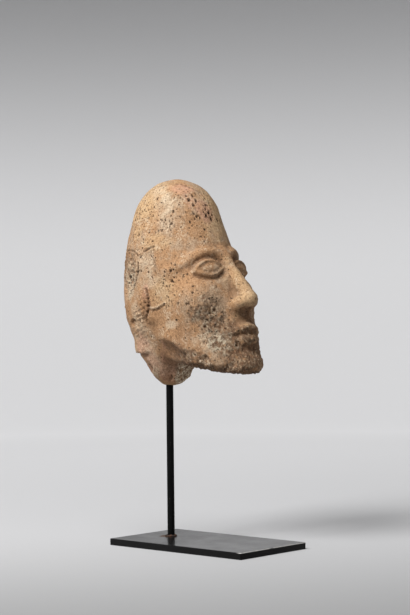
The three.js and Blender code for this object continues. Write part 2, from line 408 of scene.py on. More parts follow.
@dataclass(frozen=True)
class Spread:
    """Places between two ends, closer together around some centres, each (centre, width, gain)."""

    start: float
    end: float
    centres: tuple[Vec, ...]
    samples: int = 4001

    def places(self, count: int, closed: bool) -> Array:
        """Inverse of the running sum of 1 + sum of gain exp(-((s - centre) / width)^2).

        Args:
            count: How many places.
            closed: True where the end is the start again, so the last place is left out.

        Returns:
            The places, rising.
        """
        s = np.linspace(self.start, self.end, self.samples)
        weight = 1 + sum(gain * np.exp(-(((s - centre) / width) ** 2)) for centre, width, gain in self.centres)
        total = np.concatenate([[0], np.cumsum((weight[1:] + weight[:-1]) / 2)])
        return np.interp(np.linspace(0, 1, count, endpoint=not closed), total / total[-1], s)


def placed(name: str, data: bpy.types.ID) -> bpy.types.Object:
    """A new object in the scene, at the origin."""
    made = bpy.data.objects.new(name, data)
    bpy.context.scene.collection.objects.link(made)
    return made


def skin(name: str, first: Array, rings: Array, last: Array) -> bpy.types.Object:
    """Closed piece through rings of points, with one point before the first ring and one after the last.

    Args:
        name: The piece's name.
        first: The first pole, in millimetres.
        rings: Array of shape (rows, around, 3), in millimetres.
        last: The last pole.

    Returns:
        The new object, smooth-shaded and at the origin.
    """
    rows, around = rings.shape[:2]
    points = np.concatenate([first[None], rings.reshape(-1, 3), last[None]]) * MM
    i, j = np.meshgrid(np.arange(rows - 1), np.arange(around), indexing="ij")
    upper, lower, right = i * around, (i + 1) * around, (j + 1) % around
    quads = 1 + np.stack([upper + j, lower + j, lower + right, upper + right], -1).reshape(-1, 4)
    k = np.arange(around)
    top = np.stack([np.zeros(around, int), 1 + k, 1 + (k + 1) % around], -1)
    base = 1 + (rows - 1) * around
    bottom = np.stack([np.full(around, len(points) - 1), base + (k + 1) % around, base + k], -1)
    corners = np.concatenate([top.ravel(), quads.ravel(), bottom.ravel()]).astype(np.int32)
    sizes = np.concatenate([np.full(around, 3), np.full(len(quads), 4), np.full(around, 3)])
    mesh = bpy.data.meshes.new(name)
    mesh.vertices.add(len(points))
    mesh.vertices.foreach_set("co", points.astype(np.float32).ravel())
    mesh.loops.add(len(corners))
    mesh.loops.foreach_set("vertex_index", corners)
    mesh.polygons.add(len(sizes))
    mesh.polygons.foreach_set("loop_start", np.concatenate([[0], np.cumsum(sizes)[:-1]]).astype(np.int32))
    mesh.polygons.foreach_set("use_smooth", np.ones(len(sizes), bool))
    mesh.update(calc_edges=True)
    return placed(name, mesh)


def paint(piece: bpy.types.Object, name: str, values: Array) -> None:
    """Stores one number per vertex under a name that materials can read."""
    layer = piece.data.attributes.new(name, "FLOAT", "POINT")
    layer.data.foreach_set("value", values.astype(np.float32).ravel())


def circle(x: float, y: float, radius: Array, z: Array, around: int) -> Array:
    """Rings (x + r cos a, y + r sin a, z), one per radius and height."""
    a = np.arange(around) * 2 * pi / around
    r, z = np.broadcast_arrays(np.atleast_1d(radius), np.atleast_1d(z))
    level = np.repeat(z[:, None], around, 1)
    return np.stack([x + r[:, None] * np.cos(a), y + r[:, None] * np.sin(a), level], -1)


class Signal:
    """A shader socket that takes part in arithmetic; each operator adds its Math node."""

    def __init__(self, tree: "Tree", socket: bpy.types.NodeSocket) -> None:
        """Keeps the socket and the tree it belongs to."""
        self.tree, self.socket = tree, socket

    def __add__(self, other: "Signal | float") -> "Signal":
        """Sum."""
        return self.tree.math("ADD", self, other)

    __radd__ = __add__

    def __sub__(self, other: "Signal | float") -> "Signal":
        """Difference."""
        return self.tree.math("SUBTRACT", self, other)

    def __rsub__(self, other: float) -> "Signal":
        """Difference from a number."""
        return self.tree.math("SUBTRACT", other, self)

    def __mul__(self, other: "Signal | float") -> "Signal":
        """Product."""
        return self.tree.math("MULTIPLY", self, other)

    __rmul__ = __mul__

    def __truediv__(self, other: "Signal | float") -> "Signal":
        """Quotient."""
        return self.tree.math("DIVIDE", self, other)

    def __pow__(self, other: float) -> "Signal":
        """Power."""
        return self.tree.math("POWER", self, other)

    def within(self, low: float, high: float) -> "Signal":
        """Smooth step from 0 at low to 1 at high; low may be the larger."""
        inputs = {"Value": self, "From Min": low, "From Max": high}
        return self.tree.node("ShaderNodeMapRange", {"interpolation_type": "SMOOTHSTEP"}, inputs, "Result")

    def clamped(self) -> "Signal":
        """The value held between 0 and 1."""
        return self.tree.node("ShaderNodeClamp", {}, {"Value": self})


class Tree:
    """A material, with methods that add its nodes."""

    def __init__(self, name: str) -> None:
        """Starts an empty material with its output and principled shader."""
        self.material = bpy.data.materials.new(name)
        self.material.use_nodes = True
        self.nodes, self.links = self.material.node_tree.nodes, self.material.node_tree.links
        self.nodes.clear()
        output = self.nodes.new("ShaderNodeOutputMaterial")
        self.shader = self.nodes.new("ShaderNodeBsdfPrincipled")
        self.links.new(self.shader.outputs[0], output.inputs["Surface"])
        self.place = self.node("ShaderNodeTexCoord", {}, {}, "Object")

    def node(self, kind: str, settings: dict, inputs: dict, output: str | int = 0) -> Signal:
        """Adds a node.

        Args:
            kind: Blender's name for the node's type.
            settings: Its properties.
            inputs: Socket name or number to a value or a Signal.
            output: The socket to return.

        Returns:
            The chosen output.
        """
        made = self.nodes.new(kind)
        for key, value in settings.items():
            setattr(made, key, value)
        for key, value in inputs.items():
            self.feed(made.inputs[key], value)
        return Signal(self, made.outputs[output])

    def feed(self, socket: bpy.types.NodeSocket, value: "Signal | float | tuple") -> None:
        """Links a Signal into a socket, or sets a value on it."""
        if isinstance(value, Signal):
            self.links.new(value.socket, socket)
        elif isinstance(value, tuple) and len(value) == 3 and socket.type == "RGBA":
            socket.default_value = (*value, 1.0)
        else:
            socket.default_value = value

    def math(self, operation: str, a: "Signal | float", b: "Signal | float") -> Signal:
        """One Math node."""
        return self.node("ShaderNodeMath", {"operation": operation}, {0: a, 1: b})

    def mix(self, factor: "Signal | float", a: "Signal | Vec", b: "Signal | Vec") -> Signal:
        """Colour between a and b."""
        return self.node("ShaderNodeMix", {"data_type": "RGBA"}, {0: factor, 6: a, 7: b}, 2)

    def multiply(self, a: Signal, b: Signal) -> Signal:
        """Product of two colours."""
        settings = {"data_type": "RGBA", "blend_type": "MULTIPLY"}
        return self.node("ShaderNodeMix", settings, {0: 1.0, 6: a, 7: b}, 2)

    def axes(self) -> tuple[Signal, ...]:
        """The place's x, y and z, in metres."""
        apart = self.node("ShaderNodeSeparateXYZ", {}, {0: self.place}).socket.node
        return tuple(Signal(self, output) for output in apart.outputs)

    def attribute(self, name: str) -> Signal:
        """A number painted on the piece's vertices."""
        return self.node("ShaderNodeAttribute", {"attribute_name": name}, {}, "Fac")

    def patch(self, name: str, cover: Signal) -> Signal:
        """A painted number times its cover, held between 0 and 1."""
        return (self.attribute(name) * cover).clamped()

    def noise(self, size: float, detail: float = 3.0, rough: float = 0.5, warp: float = 0.0) -> Signal:
        """Noise with features of a size in millimetres."""
        inputs = {"Vector": self.place, "Scale": 1 / (size * MM), "Detail": detail}
        return self.node("ShaderNodeTexNoise", {}, inputs | {"Roughness": rough, "Distortion": warp})

    def cells(self, size: float, uneven: float = 0.0, output: str = "Distance") -> Signal:
        """Cell pattern with a spacing in millimetres, its places shaken by noise of uneven millimetres."""
        place = self.place
        if uneven:
            inputs = {"Vector": place, "Scale": 1.4 / (size * MM), "Detail": 2.0}
            shake = self.node("ShaderNodeTexNoise", {}, inputs, "Color")
            shake = self.vector("SUBTRACT", {0: shake, 1: (0.5, 0.5, 0.5)})
            shake = self.vector("SCALE", {0: shake, "Scale": 2 * uneven * MM})
            place = self.vector("ADD", {0: place, 1: shake})
        return self.node("ShaderNodeTexVoronoi", {}, {"Vector": place, "Scale": 1 / (size * MM)}, output)

    def vector(self, operation: str, inputs: dict) -> Signal:
        """One Vector Math node."""
        return self.node("ShaderNodeVectorMath", {"operation": operation}, inputs)

    def bump(self, height: Signal, distance: float, strength: float = 1.0) -> Signal:
        """Surface normal from a height, with its depth in millimetres."""
        inputs = {"Height": height, "Distance": distance * MM, "Strength": strength}
        return self.node("ShaderNodeBump", {}, inputs)

    def surface(self, **values: "Signal | float | tuple") -> bpy.types.Material:
        """Sets the shader's sockets; an underscore stands for a space.

        Args:
            **values: Socket name to a value or a Signal.

        Returns:
            The finished material.
        """
        for key, value in values.items():
            self.feed(self.shader.inputs[key.replace("_", " ")], value)
        return self.material


def linear(red: int, green: int, blue: int) -> Vec:
    """A colour as seen, 0 to 255, made linear: ((v + 0.055) / 1.055)^2.4, or v / 12.92 where it is dark."""
    return tuple(((v / 255 + 0.055) / 1.055) ** 2.4 if v > 10 else v / 255 / 12.92 for v in (red, green, blue))


@dataclass(frozen=True)
class FiredClay:
    """Matt fired clay: tan, with ochre, pale and pink patches, dark pores, grey crust and raw broken faces."""

    tan: Vec = linear(161, 136, 111)
    orange: Vec = linear(158, 122, 89)
    ochre: Vec = linear(179, 150, 114)
    pale: Vec = linear(184, 165, 141)
    pink: Vec = linear(178, 135, 113)
    brown: Vec = linear(112, 83, 61)
    crust: Vec = linear(96, 74, 57)
    dust: Vec = linear(146, 127, 104)
    lime: Vec = linear(176, 165, 144)
    ash: Vec = linear(222, 206, 182)
    core: Vec = linear(186, 166, 141)
    rust: Vec = linear(116, 60, 38)
    # dark of pores and crack stains, also used for painted shade and painted shadow
    pit: Vec = linear(40, 28, 20)
    dim: Vec = (0.77, 0.74, 0.7)
    bright: Vec = (1.19, 1.2, 1.21)

    def fired(self, t: Tree, middle: Signal, fine: Signal) -> Signal:
        """Colour of the old fired skin: tan and orange, with patches, chalky bloom and stains.

        Args:
            t: The material.
            middle: Noise with features of a few millimetres.
            fine: Noise with features of a millimetre or two.

        Returns:
            The colour.
        """
        base = (t.noise(24, 4, 0.55) * 0.7 + middle * 0.3).within(0.43, 0.62)
        colour = t.mix(base, self.orange, self.tan)
        colour = t.mix(t.patch("orange", middle * 0.9 + 0.45), colour, self.orange)
        colour = t.mix(t.patch("ochre", middle * 0.9 + 0.35), colour, self.ochre)
        # pale patches, and the painted highlight along ridges
        colour = t.mix(t.patch("pale", middle * 1.7 - 0.15), colour, self.pale)
        colour = t.mix(t.patch("pink", middle * 1.5 - 0.05) * 0.8, colour, self.pink)
        chalk = t.noise(11, 5, 0.68).within(0.53, 0.64) * fine.within(0.38, 0.6)
        colour = t.mix(chalk * 0.6, colour, self.pale)
        stain = t.noise(15, 5, 0.66, 0.6).within(0.56, 0.70) * fine.within(0.62, 0.4)
        colour = t.mix(stain * 0.45, colour, self.brown)
        return t.mix(t.patch("brown", middle * 0.8 + 0.5), colour, self.brown)

    def raw(self, t: Tree) -> Signal:
        """Colour of the clay inside, where the neck is broken: pale core, brown grit and ash."""
        colour = t.mix(t.noise(2.2, 4, 0.7).within(0.42, 0.54), self.brown, self.core)
        return t.mix(t.noise(3.6, 4, 0.65).within(0.52, 0.60), colour, self.ash)

    def encrusted(self, t: Tree) -> Signal:
        """Colour of the crust: dark and dusty, with orange, rust and, where the patches are pale, lime."""
        colour = t.mix(t.noise(2.6, 4, 0.72).within(0.48, 0.62), self.crust, self.dust)
        colour = t.mix(t.noise(4, 4, 0.65).within(0.55, 0.65) * 0.7, colour, self.orange)
        colour = t.mix(t.noise(3.4, 4, 0.7, 0.4).within(0.58, 0.66) * 0.7, colour, self.rust)
        bloom = t.attribute("pale") * t.noise(5, 4, 0.7).within(0.44, 0.54)
        return t.mix(bloom.clamped() * 0.8, colour, self.lime)

    def material(self) -> bpy.types.Material:
        """Builds the shader from the painted masks and noise in object space."""
        t = Tree("fired_clay")
        middle, mottle = t.noise(6, 4, 0.6), t.noise(3.2, 4, 0.7)
        fine, sand = t.noise(1.6, 3, 0.6), t.noise(0.55, 2, 0.6)
        colour = t.mix(t.attribute("break").clamped(), self.fired(t, middle, fine), self.raw(t))
        crusted = t.attribute("crust") * 1.5 - middle.within(0.62, 0.36) * 0.75
        colour = t.mix(crusted.clamped() * 0.9, colour, self.encrusted(t))
        # painted shade: brown laid into the hollows
        colour = t.mix(t.attribute("hollow_shade").clamped() * 0.65, colour, self.brown)
        grain = (fine * 0.6 + mottle * 0.2 + sand * 0.2).within(0.38, 0.64)
        colour = t.multiply(colour, t.mix(grain, self.dim, self.bright))
        porous = t.attribute("porous")
        chosen = (t.cells(3.2, 0.8, "Color") + porous * 0.25).within(0.66, 0.74)
        holes = t.cells(3.2, 0.8).within(0.29, 0.16) * chosen
        chosen = (t.cells(1.9, 0.5, "Color") + porous * 0.22).within(0.56, 0.66)
        specks = t.cells(1.9, 0.5).within(0.36, 0.18) * chosen
        # pores, specks and crack stains, with the painted shade and shadow that the pit mask carries
        pits_and_shade = (t.attribute("pit") + holes * 0.8 + specks * 0.5).clamped()
        colour = t.mix(pits_and_shade * 0.85, colour, self.pit)
        normal = t.bump(fine * 0.6 + mottle * 0.5 + sand * 0.25 - holes * 0.9 - specks * 0.5, 0.55)
        return t.surface(Base_Color=colour, Roughness=0.86 + 0.1 * middle, Specular_IOR_Level=0.22, Normal=normal)


@dataclass(frozen=True)
class BlackSteel:
    """Blackened steel with dust and fine scratches."""

    name: str
    colour: Vec
    rough: float
    gloss: float
    scratch: Vec = linear(96, 94, 92)
    dust: Vec = linear(128, 122, 112)
    coat_rough: float = 0.17

    def material(self) -> bpy.types.Material:
        """Builds the shader."""
        t = Tree(self.name)
        cloud, grain = t.noise(26, 4, 0.6), t.noise(1.2, 2)
        lift = tuple(c * 2.0 for c in self.colour)
        colour = t.mix(cloud.within(0.35, 0.7) * 0.6, self.colour, lift)
        stretch = {"Vector": t.place, "Rotation": (0.0, 0.0, 0.5), "Scale": (30.0, 900.0, 900.0)}
        drawn = {"Vector": t.node("ShaderNodeMapping", {}, stretch), "Scale": 1.0, "Detail": 2.0}
        hair = t.node("ShaderNodeTexNoise", {}, drawn).within(0.66, 0.74)
        rough = self.rough + cloud.within(0.3, 0.75) * 0.12 + hair * 0.12
        colour = t.mix(hair * 0.25, colour, self.scratch)
        fleck = t.cells(4.2).within(0.09, 0.05) * t.cells(4.2, 0.0, "Color").within(0.62, 0.7)
        colour = t.mix(fleck * 0.5, colour, self.dust)
        colour, rough, coat = self.aged(t, colour, rough)
        normal = t.bump(grain + cloud * 0.5 - hair * 0.5, 0.04, 0.3)
        return t.surface(
            Base_Color=colour, Roughness=rough.clamped(), Specular_IOR_Level=self.gloss, Normal=normal,
            Coat_Weight=coat, Coat_Roughness=self.coat_rough,
        )

    def aged(self, t: Tree, colour: Signal, rough: Signal) -> tuple[Signal, Signal, "Signal | float"]:
        """What time did to the piece: nothing here.

        Args:
            t: The material; not used here.
            colour: The steel's colour.
            rough: Its roughness.

        Returns:
            The colour, the roughness and the weight of the waxed coat.
        """
        return colour, rough, 0.0


@dataclass(frozen=True)
class PlateSteel(BlackSteel):
    """The plate's steel: waxed on top with a painted reflection that grows toward the front, painted shade on its
    sides, worn bare with a painted highlight along one end, rusty round the weld.
    """

    # weights of the coat: wax, with a painted reflection stronger toward the front and weaker on the sides
    back_wax_and_reflection: float = 0.44
    front_wax_and_reflection: float = 0.63
    side_wax_and_reflection: float = 0.3
    # painted shade on the sides
    side_shade: Vec = linear(3, 3, 3)
    # worn bare steel and a painted highlight on the front end's top edge
    bare_and_highlight: Vec = linear(190, 188, 184)
    rust: Vec = linear(84, 60, 44)
    rust_aside: Pair = (-2.0, 2.2)
    rust_reach: float = 10.0

    def aged(self, t: Tree, colour: Signal, rough: Signal) -> tuple[Signal, Signal, Signal]:
        """Wax with a painted reflection that grows toward the front, painted shade on the sides, the worn edge of
        the front end with a painted highlight, and rust around the rod's foot.

        Args:
            t: The material.
            colour: The steel's colour.
            rough: Its roughness.

        Returns:
            The colour, the roughness and the weight of the waxed coat, whose painted reflection grows toward the
            front.
        """
        x, y, z = t.axes()
        side, top = z.within(6.0 * MM, 5.4 * MM), z.within(5.4 * MM, 6.0 * MM)
        end, near_end = y.within(-80.1 * MM, -80.7 * MM), y.within(-75.0 * MM, -79.5 * MM)
        # wax and painted reflection: the coat's weight grows toward the front and drops on the sides and the end
        # face
        wax_and_reflection = self.back_wax_and_reflection + (self.front_wax_and_reflection - self.back_wax_and_reflection) * y.within(80 * MM, -60 * MM)
        wax_and_reflection = wax_and_reflection * (1 - (1 - self.side_wax_and_reflection) * side) * (1 - end)
        # painted shade: the sides darker
        colour = t.mix(side * 0.6, colour, self.side_shade)
        # worn bare steel and a painted highlight along the front end's top edge
        worn = t.attribute("edge") * t.noise(14, 4, 0.7).within(0.30, 0.46) * near_end
        colour = t.mix(worn * 0.8, colour, self.bare_and_highlight)
        across = x - (ROD_AT[0] + self.rust_aside[0]) * MM
        along = y - (ROD_AT[1] + self.rust_aside[1]) * MM
        far = (across * across + along * along) ** 0.5 + (t.noise(5, 3) - 0.5) * (12 * MM)
        rust = far.within(self.rust_reach * MM, self.rust_reach * 0.5 * MM) * top
        colour = t.mix(rust * 0.75, colour, self.rust)
        return colour, rough + rust * 0.35, wax_and_reflection * (1 - rust * 0.8)


@dataclass(frozen=True)
class WeldRust:
    """Bare weld metal gone brown."""

    def material(self) -> bpy.types.Material:
        """Builds the shader: dark scale with rusty blotches that stand a little proud."""
        t = Tree("weld_rust")
        blotch, grain = t.noise(2.5, 4, 0.6), t.noise(0.8, 2)
        colour = t.mix(blotch.within(0.4, 0.62), linear(38, 29, 24), linear(86, 56, 38))
        normal = t.bump(blotch + grain * 0.5, 0.3, 0.7)
        return t.surface(Base_Color=colour, Roughness=0.65 + 0.25 * blotch, Metallic=0.2, Normal=normal)


def sideways(turn: float) -> tuple[Array, Array]:
    """Unit vectors at a turn about the rod, in degrees: along the head's skin, and straight out of it."""
    a = radians(turn)
    return np.array([cos(a), sin(a), 0]), np.array([sin(a), -cos(a), 0])


@dataclass(frozen=True)
class Blot:
    """A soft patch on the clay: its turn about the rod in degrees, and its height and radii in millimetres."""

    turn: float
    height: float
    wide: float
    tall: float
    lean: float = 0.0
    strength: float = 1.0
    edge: float = 0.35
    deep: float = 30.0
    wander: float = 0.4

    def mask(self, points: Array, centre: Array, noise: Array) -> Array:
        """Strength inside an ellipse on the surface, fading across an uneven edge.

        Args:
            points: Points of the head.
            centre: The patch's middle on the surface.
            noise: Added to the distance, so the edge wanders.

        Returns:
            One number per point, from 0 to the strength.
        """
        lean, q = radians(self.lean), points - centre
        across, out = (q @ way for way in sideways(self.turn))
        u = cos(lean) * across + sin(lean) * q[..., 2]
        v = cos(lean) * q[..., 2] - sin(lean) * across
        far = np.sqrt((u / self.wide) ** 2 + (v / self.tall) ** 2 + (out / self.deep) ** 2)
        return self.strength * (1 - smoothstep(far + self.wander * noise, 1 - self.edge, 1 + self.edge))


@dataclass(frozen=True)
class Crack:
    """A groove along places (turn, height), with raised lips; a negative depth makes it a ridge."""

    path: tuple[Pair, ...]
    width: float
    depth: float
    lip: float = 0.0
    stain: float = 1.0

    def far(self, points: Array, line: Array) -> Array:
        """Least distance from each point to the line, in units of the width.

        Args:
            points: Points of the head.
            line: The path's places on the surface.

        Returns:
            One number per point.
        """
        steps = [taper(points, a, b, 0.0, 0.0) for a, b in zip(line[:-1], line[1:])]
        return np.min(steps, axis=0) / self.width


@dataclass(frozen=True)
class Chip:
    """A flat flake knocked off: its place, depth and reach, and how its face leans from the surface."""

    turn: float
    height: float
    depth: float
    reach: float
    across: float = 0.0
    up: float = 0.0

    def cut(self, points: Array, centre: Array, normal: Array) -> Array:
        """Depth to a plane below the surface: (p - c) . n' + depth, faded out beyond the reach.

        Args:
            points: Points of the head.
            centre: The chip's middle on the surface.
            normal: The surface's normal there.

        Returns:
            Depths in millimetres, 0 where the plane lies outside.
        """
        lean = normal + self.across * sideways(self.turn)[0] + self.up * np.array([0, 0, 1.0])
        q = points - centre
        below = q @ (lean / np.linalg.norm(lean)) + self.depth
        return np.maximum(below, 0) * (1 - smoothstep(np.linalg.norm(q, axis=-1), 0.75 * self.reach, self.reach))


@dataclass(frozen=True)
class Ledge:
    """The skin's lower edge above a break, standing proud over a step: its turn, height, half width and rise."""

    turn: float
    height: float
    wide: float
    rise: float
    swell: float = 15.0
    deep: float = 35.0
    wander: float = 1.5

    def proud(self, points: Array, centre: Array, noise: Array) -> Array:
        """Height of the lip: it swells downwards, ends in a step and fades to both sides.

        Args:
            points: Points of the head.
            centre: The lip's middle on the surface.
            noise: Lets the step wander.

        Returns:
            Heights in millimetres.
        """
        q = points - centre
        across, out = (q @ way for way in sideways(self.turn))
        up = q[..., 2] + self.wander * noise
        beside = np.exp(-((across / self.wide) ** 4) - (out / self.deep) ** 4)
        return self.rise * beside * smoothstep(up, self.swell, 0) * smoothstep(up, -1.4, 0.2)


def features(kind: type, *rows: tuple) -> tuple:
    """Features of one kind, from rows that give their fields in order."""
    return tuple(kind(*row) for row in rows)


class Paint(Enum):
    """Masks that the clay's finish reads from its vertices."""

    OCHRE = "ochre"
    ORANGE = "orange"
    # pale patches, and the painted highlight along ridges
    PALE_AND_HIGHLIGHT = "pale"
    PINK = "pink"
    BROWN = "brown"
    CRUST = "crust"
    BREAK = "break"
    POROUS = "porous"
    # pores and crack stains, with painted shade under the jaw and painted shadow under a ridge
    PIT_AND_SHADE = "pit"
    # painted shade: brown laid into the surface's hollows
    HOLLOW_SHADE = "hollow_shade"


